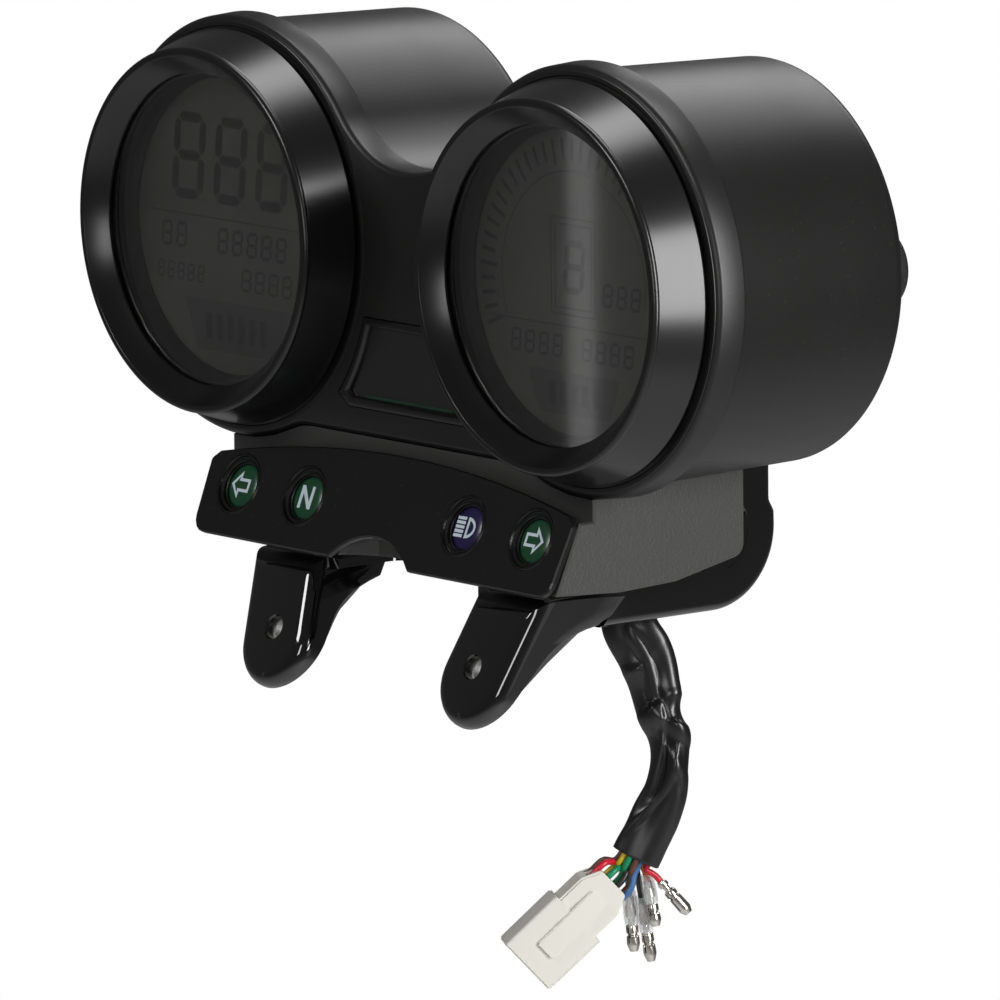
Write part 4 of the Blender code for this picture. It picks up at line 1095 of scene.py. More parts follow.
    @staticmethod
    def strip(points: Sequence[Point2], width: float) -> list[list[Point2]]:
        """A thin line along points.

        Args:
            points: The points in X and Z.
            width: Line width.

        Returns:
            One quad for each span.
        """
        out = []
        for (x0, z0), (x1, z1) in zip(points, points[1:]):
            size = hypot(x1 - x0, z1 - z0)
            nx, nz = -(z1 - z0) / size * width / 2, (x1 - x0) / size * width / 2
            out.append([(x0 + nx, z0 + nz), (x1 + nx, z1 + nz), (x1 - nx, z1 - nz),
                        (x0 - nx, z0 - nz)])
        return out

    def build_speed_face(self) -> None:
        """Three large digits, a rule, two small rows and a bar field."""
        shapes = self.digits(-0.0255, 0.0055, 3, 0.0135, 0.0235, 0.0028, 0.0178)
        shapes += self.strip([(-0.0345, 0.0015), (0.0345, 0.0015)], self.rule)
        shapes += self.digits(-0.0300, -0.0078, 2, 0.0045, 0.0070, 0.0009, 0.0062)
        shapes += self.digits(-0.0060, -0.0078, 5, 0.0045, 0.0070, 0.0009, 0.0062)
        shapes += self.digits(-0.0320, -0.0165, 5, 0.0030, 0.0048, 0.0006, 0.0043)
        shapes += self.digits(0.0040, -0.0170, 4, 0.0042, 0.0062, 0.0008, 0.0058)
        self.plates("display_figures", shapes, SEGMENT)
        mask = [[(-0.0200, -0.0205), (0.0245, -0.0205), (0.0190, -0.0340), (-0.0150, -0.0340)]]
        self.plates("display_field", mask, DIAL_MASK, 0.00003)
        self.bars(-0.0110, 0.0046, 6, -0.0310, -0.0240)

    def build_engine_face(self) -> None:
        """Radial scale, centred gear frame, a rule and a lower field."""
        ticks = []
        for i in range(34):
            a = radians(202 - i * 6.2)
            wide = radians(1.9)
            r0 = 0.0318 if i % 4 else 0.0305
            ticks.append([(r0 * cos(a - wide / 2), r0 * sin(a - wide / 2)),
                          (0.0372 * cos(a - wide / 2), 0.0372 * sin(a - wide / 2)),
                          (0.0372 * cos(a + wide / 2), 0.0372 * sin(a + wide / 2)),
                          (r0 * cos(a + wide / 2), r0 * sin(a + wide / 2))])
        self.plates("display_scale", ticks, SEGMENT)
        line = self.strip(arc(0.0, 0.0, 0.0288, radians(205), radians(-8), 64), self.rule)
        for half_w, half_h in ((0.0088, 0.0125), (0.0072, 0.0108)):
            box = [(-half_w, -half_h + 0.004), (half_w, -half_h + 0.004),
                   (half_w, half_h + 0.004), (-half_w, half_h + 0.004),
                   (-half_w, -half_h + 0.004)]
            line += self.strip(box, 0.00040)
        line += self.strip([(-0.0345, -0.0115), (0.0345, -0.0115)], self.rule)
        self.plates("display_lines", line, SEGMENT, 0.00005)
        figures = self.digit(-0.0045, -0.0030, 0.0085, 0.0140, 0.0018)
        figures += self.digits(0.0115, -0.0050, 3, 0.0040, 0.0062, 0.0008, 0.0056)
        figures += self.digits(-0.0255, -0.0200, 4, 0.0040, 0.0062, 0.0008, 0.0056)
        figures += self.digits(0.0030, -0.0200, 4, 0.0040, 0.0062, 0.0008, 0.0056)
        self.plates("display_figures", figures, SEGMENT)
        self.plates("display_field", [[(-0.0190, -0.0235), (0.0190, -0.0235),
                                       (0.0140, -0.0345), (-0.0140, -0.0345)]],
                    DIAL_MASK, 0.00003)
        self.bars(-0.0100, 0.0044, 5, -0.0320, -0.0262)

    def bars(self, first: float, step: float, count: int, low: float, high: float) -> None:
        """A row of unlit bars at the foot of the display.

        Args:
            first: Left edge of the first.
            step: Distance from one to the next.
            count: How many.
            low: Lower edge.
            high: Upper edge.
        """
        shapes = []
        for i in range(count):
            x = first + i * step
            shapes.append([(x, low), (x + self.bar_w, low), (x + self.bar_w, high),
                           (x, high)])
        self.plates("display_bars", shapes, SEGMENT, 0.00007)


# --------------------------------------------------------------- lower casing
@dataclass
class LowerCase(Assembly):
    """Textured casing under the pods, which keeps the shape of its solid."""

    def build(self) -> None:
        """Dress the casing and its port."""
        self.paint(CASE_SKIN, "lower_case")


# ----------------------------------------------------------------- lamp panel
class Symbol(Enum):
    """What a warning lamp shows."""

    LEFT = "left_turn"
    NEUTRAL = "neutral"
    BEAM = "high_beam"
    RIGHT = "right_turn"


@dataclass
class LampPanel(Assembly):
    """Satin panel with four ringed lamps."""

    tilt: float = radians(23.5)
    y: float = -0.0056
    z: float = -0.0615
    lamp_drop: float = 0.0060
    mark_y: float = 0.00098
    mark_unit: float = 0.00116
    mark_stroke: float = 0.72
    places: dict[Symbol, float] = field(default_factory=lambda: {
        Symbol.LEFT: -0.0608, Symbol.NEUTRAL: -0.0332, Symbol.BEAM: 0.0332,
        Symbol.RIGHT: 0.0608})

    def at(self, x: float) -> Matrix:
        """A lamp's own axes, at x from the middle."""
        place = Matrix.Translation((x, 0.0, -self.lamp_drop))
        return seat((0, self.y, self.z), -self.tilt) @ place

    def build(self) -> None:
        """Panel, rings, lenses and symbols."""
        self.paint(PANEL_SKIN, "lamp_panel")
        self.paint(BOARD, "lamp_board_left", "lamp_board_right")
        for symbol, x in self.places.items():
            self.build_lamp(symbol, x)

    def build_lamp(self, symbol: Symbol, x: float) -> None:
        """One lamp: stepped ring, domed lens and its symbol.

        Args:
            symbol: What it shows.
            x: Its place from the middle.
        """
        name = symbol.value
        self.turn(f"lamp_ring_{name}", [
            (0.00835, 0.0022), (0.00835, 0.0001), (0.00815, -0.00012), (0.00785, -0.00012),
            (0.00765, 0.0002), (0.00755, 0.00065), (0.00735, 0.00080), (0.00700, 0.00080),
            (0.00680, 0.00060), (0.00660, 0.00060), (0.00645, 0.00080), (0.00635, 0.00140),
            (0.00610, 0.00155), (0.00590, 0.00155), (0.00590, 0.00300), (0.00900, 0.00300),
            (0.00900, 0.00235),
        ], 96, self.at(x), 26.0, PANEL_SKIN, f"ring_{name}", slot="panel_black")
        dome = [(0.0058 * sin(radians(t)), 0.00105 + 0.00055 * (1 - cos(radians(t))) * 1.6)
                for t in range(0, 91, 9)]
        tint = BLUE_LENS if symbol is Symbol.BEAM else GREEN_LENS
        self.turn(f"lamp_lens_{name}", dome + [(0.0058, 0.0050), (0.0, 0.0050)], 72,
                  self.at(x), 30.0, tint, f"lamp_{name}", slot=tint.name)
        # The symbol's faint glow is painted light, not a lit lamp.
        bm = front_faces(self.shapes(symbol), self.mark_y)
        mark = make_object(f"lamp_mark_{name}", bm, self.at(x), 30.0)
        self.dress(mark, SYMBOL_PAINTED_GLOW, slot="white_diffuser")

    @staticmethod
    def hollow(outer: Sequence[Point2], stroke: float) -> list[list[Point2]]:
        """An outline drawn with a stroke, as one quad an edge.

        Args:
            outer: The outline.
            stroke: Line width.

        Returns:
            The quads.
        """
        count = len(outer)
        area = sum(outer[i][0] * outer[(i + 1) % count][1]
                   - outer[(i + 1) % count][0] * outer[i][1] for i in range(count))
        turn = 1.0 if area > 0 else -1.0
        inner = []
        for i in range(count):
            here = Vector(outer[i])
            a = (here - Vector(outer[i - 1])).normalized()
            b = (Vector(outer[(i + 1) % count]) - here).normalized()
            na, nb = Vector((-a.y, a.x)) * turn, Vector((-b.y, b.x)) * turn
            inner.append(tuple(here + (na + nb) / max(0.35, 1 + na.dot(nb)) * stroke))
        return [[outer[i], outer[(i + 1) % count], inner[(i + 1) % count], inner[i]]
                for i in range(count)]

    def shapes(self, symbol: Symbol) -> list[list[Point2]]:
        """The flat shapes of a symbol.

        Args:
            symbol: The symbol.

        Returns:
            Outlines in X and Z, about the lamp's middle.
        """
        mm, stroke = self.mark_unit, self.mark_stroke * self.mark_unit
        if symbol in (Symbol.LEFT, Symbol.RIGHT):
            arrow = [(3.5, 0.0), (0.4, 3.3), (0.4, 1.6), (-2.9, 1.6), (-2.9, -1.6),
                     (0.4, -1.6), (0.4, -3.3)]
            sign = -1 if symbol is Symbol.LEFT else 1
            return self.hollow([(sign * x * mm, z * mm) for x, z in arrow], stroke)
        if symbol is Symbol.NEUTRAL:
            t = 1.0
            return [[(x * mm, z * mm) for x, z in shape] for shape in (
                [(-2.3, -2.7), (-2.3 + t, -2.7), (-2.3 + t, 2.7), (-2.3, 2.7)],
                [(2.3 - t, -2.7), (2.3, -2.7), (2.3, 2.7), (2.3 - t, 2.7)],
                [(-2.3 + t, 2.7), (-2.3 + t, 0.95), (2.3 - t, -2.7), (2.3 - t, -0.95)])]
        lens = [(0.2, -2.5), (0.2, 2.5)] + [
            (0.2 + 3.1 * cos(a), 2.5 * sin(a))
            for a in (radians(90 - 15 * i) for i in range(1, 12))]
        shapes = self.hollow([(x * mm, z * mm) for x, z in lens], stroke)
        for i in range(5):
            z = 2.05 - i * 1.02
            shapes.append([(x * mm, q * mm) for x, q in (
                (-3.5, z - 0.36), (-0.5, z - 0.36), (-0.5, z + 0.36), (-3.5, z + 0.36))])
        return shapes


# -------------------------------------------------------------------- bracket
@dataclass
class Bracket(Assembly):
    """Pressed and painted bracket with its nuts and screws."""

    ear_x: float = 0.0414
    ear_tilt: float = radians(22.5)
    splay: float = radians(13)
    half_w: float = 0.0131
    drop: float = 0.0026
    bend: float = 0.0075
    deep: float = 0.0080
    rake: float = 0.25
    flare: float = 0.0100
    flare_run: float = 0.0160
    edge: float = 0.0038
    steel: float = 0.0025
    tray_top: float = -0.0842
    arm_out: float = 0.0565
    arm_flange: float = 0.0090
    arm_w: float = 0.0108
    arm_bend: float = 0.0024
    arm_start: float = -0.0010
    arm_blend: float = 0.0280
    ear_rim: float = 0.0120
    arm_back: float = 0.0790
    arm_corner: float = 0.0210
    arm_low: float = 0.0939
    arm_gap: float = 0.0003
    jog: float = 0.0018
    jog_at: float = 0.0680
    foot_x: float = 0.0450
    foot_z: float = -0.0440
    slot_r: float = 0.0018
    slot_y: float = 0.0144
    thread_r: float = 0.00255
    thread_depth: float = 0.00045
    thread_pitch: float = 0.0010
    nut_flat: float = 0.0050

    def ear_at(self, side: int) -> Matrix:
        """The axes of one ear's hole."""
        return seat((side * self.ear_x, -LIP_SETBACK, -POD_RISE), -self.ear_tilt)

    def bend_z(self) -> float:
        """Height of the top bend's centre, so that it ends level with the tray.

        Returns:
            The height on the ear.
        """
        tilt = self.ear_tilt
        rise = self.tray_top - 0.0002 + POD_RISE
        return ((rise + self.bend * (1 - sin(tilt)) * sin(tilt)) / cos(tilt)
                - self.bend * cos(tilt))

    def ear_top(self, depth: float, wall: float) -> float:
        """Height of the bent top.

        Args:
            depth: Depth behind the ear's face.
            wall: How far inside the outer face.

        Returns:
            The height.
        """
        r = self.bend - wall
        level = self.bend - r * sin(self.ear_tilt)
        if depth >= level:
            return self.bend_z() + r * cos(self.ear_tilt) + (depth - level) * tan(self.ear_tilt)
        return self.bend_z() + sqrt(max(0.0, r ** 2 - (self.bend - depth) ** 2))

    def ear_depth(self, z: float, part: float) -> float:
        """Depth of the flange.

        Args:
            z: Height on the ear.
            part: 0 at the edge radius, 1 at the flange's rim.

        Returns:
            The depth.
        """
        reach = self.bend_z() + self.bend
        rise = max(0.0, (min(z, reach) - reach + self.flare_run) / self.flare_run)
        full = self.deep + self.rake * z + self.flare * rise ** 2
        return self.edge + (full - self.edge) * part

    def ear_outline(self, side: int, inset: float, top: float) -> list[Point2]:
        """Tongue with a round end and splayed sides.

        Args:
            side: -1 left, 1 right.
            inset: How far it is pulled in.
            top: Where it ends, up the slope.

        Returns:
            Points in X and Z.
        """
        r = self.half_w - inset
        lean = self.splay
        points = [(x, z - self.drop)
                  for x, z in arc(0.0, 0.0, r, pi - lean, 2 * pi - lean, 40)]
        shares = [(i / 12) for i in range(1, 13)]
        low = points[-1][1]
        right = [low + (top - low) * t for t in shares]
        points += [((z + self.drop) * tan(lean) + r / cos(lean), z) for z in right]
        low = points[0][1]
        left = [low + (top - low) * t for t in reversed(shares)]
        points += [((z + self.drop) * tan(lean) - r / cos(lean), z) for z in left]
        return [(side * x, z) for x, z in points]

    def ear(self, side: int) -> Obj:
        """One dished ear.

        Args:
            side: -1 left, 1 right.

        Returns:
            The solid ear, before it is hollowed.
        """
        rings = []
        for i in range(9):
            a = pi / 2 * i / 8
            depth = self.edge * (1 - cos(a))
            shape = self.ear_outline(side, self.edge * (1 - sin(a)), self.ear_top(depth, 0.0))
            rings.append([(x, depth, z) for x, z in shape])
        peak = self.bend_z() + self.bend
        for part in (0.06, 0.12, 0.20, 0.32, 0.5, 0.7, 0.95, 1.0):
            inset = 0.0003 if part == 1.0 else 0.0
            shape = self.ear_outline(side, inset, self.ear_top(self.ear_depth(peak, part), 0.0))
            rings.append([(x, self.ear_depth(z, part), z) for x, z in shape])
        return make_object("ear", lofted(rings), self.ear_at(side))

    def ear_hollow(self, side: int) -> Obj:
        """The space inside an ear's flange.

        Args:
            side: -1 left, 1 right.

        Returns:
            The cutter.
        """
        edge = self.edge - self.steel
        sections = [(self.steel + edge * (1 - cos(pi / 2 * i / 4)),
                     self.steel + edge * (1 - sin(pi / 2 * i / 4))) for i in range(5)]
        sections += [(self.bend - self.steel * 0.5, self.steel),
                     (self.bend + self.deep + self.flare, self.steel)]
        rings = [[(x, y, z) for x, z in self.ear_outline(side, inset,
                                                         self.ear_top(y, self.steel))]
                 for y, inset in sections]
        return make_object("hollow", lofted(rings), self.ear_at(side))

    def arm_lean(self, y: float) -> Point2:
        """Sideways shift and shear that start the arm flush with the ear's flange.

        Args:
            y: Depth along the arm.

        Returns:
            The shift, and the shear for each unit of height above the arm.
        """
        tilt = self.ear_tilt
        up = (self.arm_start + LIP_SETBACK) * sin(tilt) + (POD_RISE - self.arm_low) * cos(tilt)
        flank = self.ear_x + self.half_w / cos(self.splay) + (self.drop + up) * tan(self.splay)
        part = (self.arm_blend - y) / (self.arm_blend - self.ear_rim)
        part = max(0.0, min(1.0, part))
        part = part * part * (3 - 2 * part)
        return ((flank - self.arm_gap - self.arm_out) * part,
                cos(tilt) * tan(self.splay) * part)

    def arm(self) -> Obj:
        """The right arm: an L section swept back and up.

        Returns:
            The arm.
        """
        e = 0.0006
        bend = arc(self.arm_out - self.arm_bend, self.arm_bend, self.arm_bend, -pi / 2, 0.0, 8)
        tip, wall = self.arm_out - self.arm_flange, self.arm_out - self.steel
        section = [(tip + e, 0.0)] + bend + [
            (self.arm_out, self.arm_w - e), (self.arm_out - e, self.arm_w),
            (wall + e, self.arm_w), (wall, self.arm_w - e), (wall, self.steel + e),
            (wall - e, self.steel), (tip + e, self.steel), (tip, self.steel - e), (tip, e)]
        corner = arc(self.arm_back - self.arm_corner, self.arm_corner - self.arm_low,
                     self.arm_corner, -pi / 2, 0.0, 22)
        back = self.arm_back - self.jog
        span = self.arm_blend - self.arm_start
        path = [(self.arm_start + span * i / 8, -self.arm_low) for i in range(9)] + corner
        straight = len(path) - 2
        mid = -self.jog_at
        for i in range(1, 8):
            t = i / 8
            s = t * t * (3 - 2 * t)
            path.append((self.arm_back - self.jog * s, mid - 0.0022 + 0.0044 * t))
        path += [(back, mid + 0.0026), (back, -0.0520), (back, -0.0440)]
        rings = []
        for i, (y, z) in enumerate(path):
            y0, z0 = path[max(i - 1, 0)]
            y1, z1 = path[min(i + 1, len(path) - 1)]
            size = hypot(y1 - y0, z1 - z0)
            ny, nz = -(z1 - z0) / size, (y1 - y0) / size
            if i > straight:
                ny, nz = -1.0, 0.0
            shift, shear = self.arm_lean(y)
            rings.append([(x + shift + n * shear, y + ny * n, z + nz * n) for x, n in section])
        return make_object("arm", lofted(rings), seat())

    def corner_web(self) -> Obj:
        """Web plate inside the arm's bend.

        Returns:
            The web.
        """
        w = self.arm_w
        back, low = self.arm_back - w, -self.arm_low + w
        outline = [
            (back - w * 1.67, low - w * 0.18), (back - w * 1.36, low + w * 0.02),
            (back - w * 1.05, low + w * 0.18), (back - w * 0.74, low + w * 0.40),
            (back - w * 0.46, low + w * 0.66), (back - w * 0.22, low + w * 0.95),
            (back - w * 0.05, low + w * 1.26), (back + w * 0.03, low + w * 1.58),
            (back + w * 0.28, low + w * 1.58), (back + w * 0.37, low + w * 0.18),
            (back - w * 0.74, low - w * 0.46)]
        return make_object("web", prism(outline, self.arm_out - self.steel + 0.0001,
                                        self.arm_out - 0.0001, "X"), seat())

    def tray(self) -> Obj:
        """Flat tray under the casing, open in the middle of its front.

        Returns:
            The tray.
        """
        half = [(0.0290, 0.0220, 0.0045), (0.0290, 0.0002, 0.0), (0.0596, 0.0002, 0.0),
                (0.0552, 0.0220, 0.0), (0.0552, 0.0400, 0.0045)]
        plate = rounded(half + [(-x, y, r) for x, y, r in reversed(half)])
        return make_object("bracket_pressing",
                           prism(plate, self.tray_top - self.steel, self.tray_top, "Z"),
                           seat())

    def foot(self) -> Obj:
        """Tab at the top of the arm that its screw passes through.

        Returns:
            The tab.
        """
        edge = self.arm_out - self.steel * 0.6
        outline = rounded([(edge, -0.0560, 0.0), (edge, -0.0395, 0.004),
                           (edge - 0.0045, -0.0360, 0.004), (0.0370, -0.0360, 0.006),
                           (0.0370, -0.0520, 0.006), (0.0450, -0.0540, 0.004)])
        y = self.arm_back - self.jog - self.steel
        return make_object("foot", prism(outline, y + 0.0001, y + self.steel - 0.0001), seat())

    def build(self) -> None:
        """Join tray, ears, arm and foot into one pressing."""
        steel = self.tray()
        parts = [self.ear(1), self.ear(-1), self.arm(), self.corner_web(), self.foot()]
        boolean(steel, parts, "UNION", 34.0)
        cuts = [self.ear_hollow(-1), self.ear_hollow(1)]
        for side in (-1, 1):
            cuts.append(make_object("hole", turned([
                (0.0, -0.01), (0.0035, -0.01), (0.0035, -0.0001), (0.00315, 0.0004),
                (0.00310, 0.006), (0.0, 0.006)], 64), self.ear_at(side)))
            cuts.append(make_object(
                "slot", cylinder(self.slot_r, -0.0942, -0.0742, 32, "Z"),
                seat((side * self.ear_x, self.slot_y, 0.0))))
        cuts.append(make_object("slot", cylinder(self.slot_r, 0.071, 0.096, 32),
                                seat((self.foot_x, 0.0, self.foot_z))))
        boolean(steel, cuts, "DIFFERENCE", 34.0)
        self.dress(steel, STEEL_PAINT, "bracket", slot="steel_black")
        self.build_nuts()
        self.paint(ZINC, "tray_screw_left", "tray_screw_right", "foot_screw",
                   "damper_screw")

    def build_nuts(self) -> None:
        """Weld nuts with turned threads that show through the ear holes."""
        for name, side in (("left", -1), ("right", 1)):
            corner = self.nut_flat / cos(pi / 6)
            hexagon = [(corner * cos(radians(60 * i)), corner * sin(radians(60 * i)))
                       for i in range(6)]
            nut = make_object("nut", prism(hexagon, 0.0028, 0.0078, edge=0.0004),
                              self.ear_at(side))
            r, y = self.thread_r, 0.0018
            thread = [(0.0, 0.0)]
            while y < 0.0088:
                thread += [(r, y), (r + self.thread_depth, y + self.thread_pitch / 2)]
                y += self.thread_pitch
            thread += [(r, y), (0.0, y)]
            tool = make_object("thread", turned(thread, 48), self.ear_at(side))
            boolean(nut, [tool], "DIFFERENCE", 25.0)
            nut.name = f"threaded_nut_{name}"
            self.dress(nut, THREAD, f"weld_nut_{name}", slot="zinc_steel")


# --------------------------------------------------------------------- damper
@dataclass
class RearDamper(Assembly):
    """Rubber damper on the boss behind the right pod."""

    x: float = 0.0975
    front: float = 0.0743
    r: float = 0.0109
    t: float = 0.0060

    def build(self) -> None:
        """Rounded rubber ring with a sunk screw seat."""
        f, r, t = self.front, self.r, self.t
        soft = 0.0011
        profile = [(0.0018, f), (r - soft, f)]
        profile += arc(r - soft, f + soft, soft, -pi / 2, 0.0, 6)[1:]
        profile += arc(r - 0.0016, f + t - 0.0016, 0.0016, 0.0, pi / 2, 8)
        profile += [(0.0052, f + t), (0.0048, f + t - 0.0004), (0.0046, f + 0.0033),
                    (0.0018, f + 0.0033)]
        self.turn("damper_ring", profile, 96, seat((self.x, 0, -0.0010)), 32.0,
                  RUBBER, "rear_damper", slot="rubber_black")


# -------------------------------------------------------------------- harness
class Insulation(Enum):
    """Wire colours in the harness."""

    RED = (0.60, 0.010, 0.035)
    BROWN = (0.11, 0.045, 0.028)
    YELLOW = (0.62, 0.47, 0.03)
    GREEN = (0.004, 0.24, 0.10)
    BLACK = (0.012, 0.012, 0.012)
    BLUE = (0.045, 0.14, 0.33)
    ORANGE = (0.80, 0.22, 0.05)

    def finish(self) -> Finish:
        """The insulation's finish."""
        return wire_finish(self.name.lower(), self.value)


@dataclass(frozen=True)
class Pinch:
    """One fold pressed into the flattened sleeve.

    Attributes:
        at: Distance along the sleeve, in metres.
        turn: Angle round the sleeve where it is deepest.
        slope: How far it runs along the sleeve for each radian round it.
        depth: How deep it goes.
        width: How broad it is along the sleeve.
        reach: How far round it goes, in radians.
        broaden: Factor on every fold's width.
        ease: Factor on every fold's depth.
    """

    at: float
    turn: float
    slope: float
    depth: float
    width: float
    reach: float
    broaden: ClassVar[float] = 1.20
    ease: ClassVar[float] = 0.82

    def push(self, s: float, angle: float) -> float:
        """Inward push at a place on the sleeve.

        Args:
            s: Distance along the sleeve.
            angle: Angle round it.

        Returns:
            Metres inward.
        """
        off = (angle - self.turn + pi) % (2 * pi) - pi
        across = (s - self.at - self.slope * off) / (self.width * self.broaden)
        near = max(0.0, 1 - (off / self.reach) ** 2)
        valley = max(0.0, 1 - across * across) ** 1.2
        ridge = max(0.0, 1 - ((across - 1.35) / 0.6) ** 2) * 0.45
        return self.depth * self.ease * (valley - ridge) * near


@dataclass(frozen=True)
class Mouth:
    """The sleeve's open end.

    Attributes:
        middle: Its middle, in pod coordinates.
        ahead: The way out of it.
        side: Across its wide axis.
        back: Across its thin axis, away from the rider.
    """

    middle: Vector
    ahead: Vector
    side: Vector
    back: Vector


@dataclass
class Harness(Assembly):
    """Crumpled sleeve, wires, plug and bullet terminals."""

    sleeve_r: float = 0.0052
    wire_r: float = 0.00085
    wall: float = 0.00040
    half_wide: float = 0.0067
    half_thin: float = 0.0038
    mouth_depth: float = 0.0150
    sleeve_step: float = 0.00062
    sleeve_sides: int = 96
    thinnest: float = 0.0028
    bulge_at: float = 0.057
    bulge_run: float = 0.013
    waist_at: float = 0.088
    waist_run: float = 0.012
    roundness: float = 2.35
    crease: float = 0.00024
    fine: float = 0.00008
    wire_step: float = 0.0010
    wire_starts: tuple[Point2, ...] = ((0.027, 0.15), (0.018, 0.3), (0.009, 0.65))
    route: tuple[Point3, ...] = (
        (0.0060, 0.0549, -0.0660), (0.0060, 0.0580, -0.0660), (0.0062, 0.0625, -0.0666),
        (0.0080, 0.0672, -0.0720), (0.0118, 0.0668, -0.0820), (0.0165, 0.0615, -0.0925),
        (0.0210, 0.0580, -0.1020), (0.0244, 0.0611, -0.1112), (0.0260, 0.0631, -0.1224),
        (0.0279, 0.0654, -0.1334), (0.0275, 0.0650, -0.1450), (0.0257, 0.0627, -0.1526),
        (0.0222, 0.0585, -0.1640),
    )
    plug_back: Point3 = (0.0182, 0.0535, -0.1700)
    plug_aim: Point3 = (-0.373, -0.633, -0.678)
    plug_wide: Point3 = (0.345, 0.470, -0.812)
    plug_l: float = 0.0320
    plug_w: float = 0.0170
    plug_h: float = 0.0140
    column_step: float = 0.0033
    row_step: float = 0.0026
    bullet_r: float = 0.00175
    terminals: tuple[tuple[str, Point2, Point3, Point3], ...] = (
        ("red", (0.0037, 0.0004), (0.0262, 0.0630, -0.1700), (0.0313, 0.0690, -0.1790)),
        ("orange", (0.0022, 0.0030), (0.0213, 0.0630, -0.1705), (0.0228, 0.0648, -0.1832)),
        ("blue", (-0.0022, 0.0031), (0.0146, 0.0625, -0.1757), (0.0148, 0.0639, -0.1910)),
        ("black", (0.0, 0.0037), (0.0180, 0.0640, -0.1770), (0.0184, 0.0668, -0.1935)),
    )
    pinches: tuple[Pinch, ...] = (
        Pinch(0.066, 0.68, 0.0019, 0.0027, 0.0050, 1.75),
        Pinch(0.0735, -0.2, -0.0035, 0.0018, 0.0040, 1.1),
        Pinch(0.090, 1.0, 0.0140, 0.0017, 0.0060, 1.1),
        Pinch(0.099, 1.6, 0.0160, 0.0013, 0.0050, 1.0),
        Pinch(0.056, 0.9, -0.0020, 0.0017, 0.0055, 1.2),
        Pinch(0.082, 0.1, -0.0060, 0.0010, 0.0045, 1.0),
        Pinch(0.036, 0.4, 0.0030, 0.0022, 0.0050, 1.5),
        Pinch(0.045, 3.4, 0.0040, 0.0022, 0.0050, 1.4),
        Pinch(0.062, 3.9, -0.0030, 0.0020, 0.0050, 1.3),
        Pinch(0.079, 3.6, 0.0050, 0.0018, 0.0050, 1.3),
        Pinch(0.094, 4.2, -0.0090, 0.0014, 0.0060, 1.3),
        Pinch(0.025, 2.2, 0.0030, 0.0018, 0.0050, 1.2),
    )

    # axes --------------------------------------------------------------
    @staticmethod
    def along(start: Sequence[float], direction: Sequence[float],
              wide: Sequence[float]) -> Matrix:
        """Matrix whose -Y runs along a direction.

        Args:
            start: Where it stands.
            direction: Which way its -Y points.
            wide: Which way its X leans.

        Returns:
            The matrix, in the row frame.
        """
        back = -Vector(direction).normalized()
        side = Vector(wide)
        side = (side - back * side.dot(back)).normalized()
        basis = Matrix((side, back, side.cross(back))).transposed().to_4x4()
        basis.translation = Vector(start) + ORIGIN
        return basis

    def mouth(self) -> Mouth:
        """The sleeve's open end.

        Returns:
            Its middle and axes.
        """
        middle = Vector(self.route[-1])
        ahead = (middle - Vector(self.route[-2])).normalized()
        side = Vector((0.70, 0.55, 0.0))
        side = (side - ahead * side.dot(ahead)).normalized()
        back = ahead.cross(side)
        return Mouth(middle, ahead, side, back if back.y >= 0 else -back)

    # sleeve ------------------------------------------------------------
    def sleeve_radius(self, s: float, length: float, angle: float, shrink: float) -> float:
        """Distance from the centreline to the sleeve's skin.

        Args:
            s: Distance along the sleeve.
            length: The sleeve's length.
            angle: Angle round it.
            shrink: How far inside the outer skin.

        Returns:
            The radius.
        """
        start = min(1.0, max(0.0, (s - 0.004) / 0.018))
        start = start * start * (3 - 2 * start)
        bulge = exp(-((s - self.bulge_at) / self.bulge_run) ** 2)
        waist = exp(-((s - self.waist_at) / self.waist_run) ** 2)
        a = self.half_wide + 0.0012 * bulge - 0.0007 * waist
        b = self.half_thin - 0.0010 * bulge + 0.0004 * waist
        a = self.sleeve_r + (a - self.sleeve_r) * start
        b = self.sleeve_r + (b - self.sleeve_r) * start
        lay = -0.89 + 0.75 * waist - 0.9 * exp(-((s - 0.030) / 0.012) ** 2)
        u, power = angle - lay, self.roundness
        r = (abs(cos(u) / a) ** power + abs(sin(u) / b) ** power) ** (-1 / power)
        calm = min(1.0, max(0.0, (length - s) / 0.016)) * start
        push = sum(fold.push(s, angle) for fold in self.pinches) * calm
        ring = Vector((cos(angle) * 0.7, sin(angle) * 0.7, s * 70.0))
        crease = 1 - abs(noise.noise(ring + Vector((7.0, 3.0, 0.0)))) * 2.6
        fine = noise.noise(ring * 2.3 + Vector((0.0, 9.0, 4.0)))
        push += (crease * self.crease + fine * self.fine) * (0.35 * start + 0.65 * calm)
        return max(self.thinnest, r - push - shrink)

    def sleeve(self) -> tuple[Obj, list[Vector]]:
        """The flattened, folded vinyl sleeve.

        Returns:
            The sleeve and its centreline.
        """
        line = smooth_route(self.route, self.sleeve_step)
        length = route_length(line)
        forward = (line[1] - line[0]).normalized()
        side = Vector((1.0, 0.0, 0.0))
        side = (side - forward * side.dot(forward)).normalized()
        frames = []
        for i, p in enumerate(line):
            ahead = (line[min(i + 1, len(line) - 1)] - line[max(i - 1, 0)]).normalized()
            side = (side - ahead * side.dot(ahead)).normalized()
            frames.append((p, side.copy(), ahead.cross(side)))
        count = self.sleeve_sides
        rings, s = [], 0.0

        def ring(index: int, s: float, shrink: float) -> list[Vector]:
            """One ring of points round the centreline.

            Args:
                index: Which point of the centreline.
                s: Distance along the sleeve.
                shrink: How far inside the outer skin.

            Returns:
                The ring.
            """
            p, across, up = frames[index]
            out = []
            for k in range(count):
                angle = 2 * pi * k / count
                r = self.sleeve_radius(s, length, angle, shrink)
                out.append(p + across * (r * cos(angle)) + up * (r * sin(angle)))
            return out

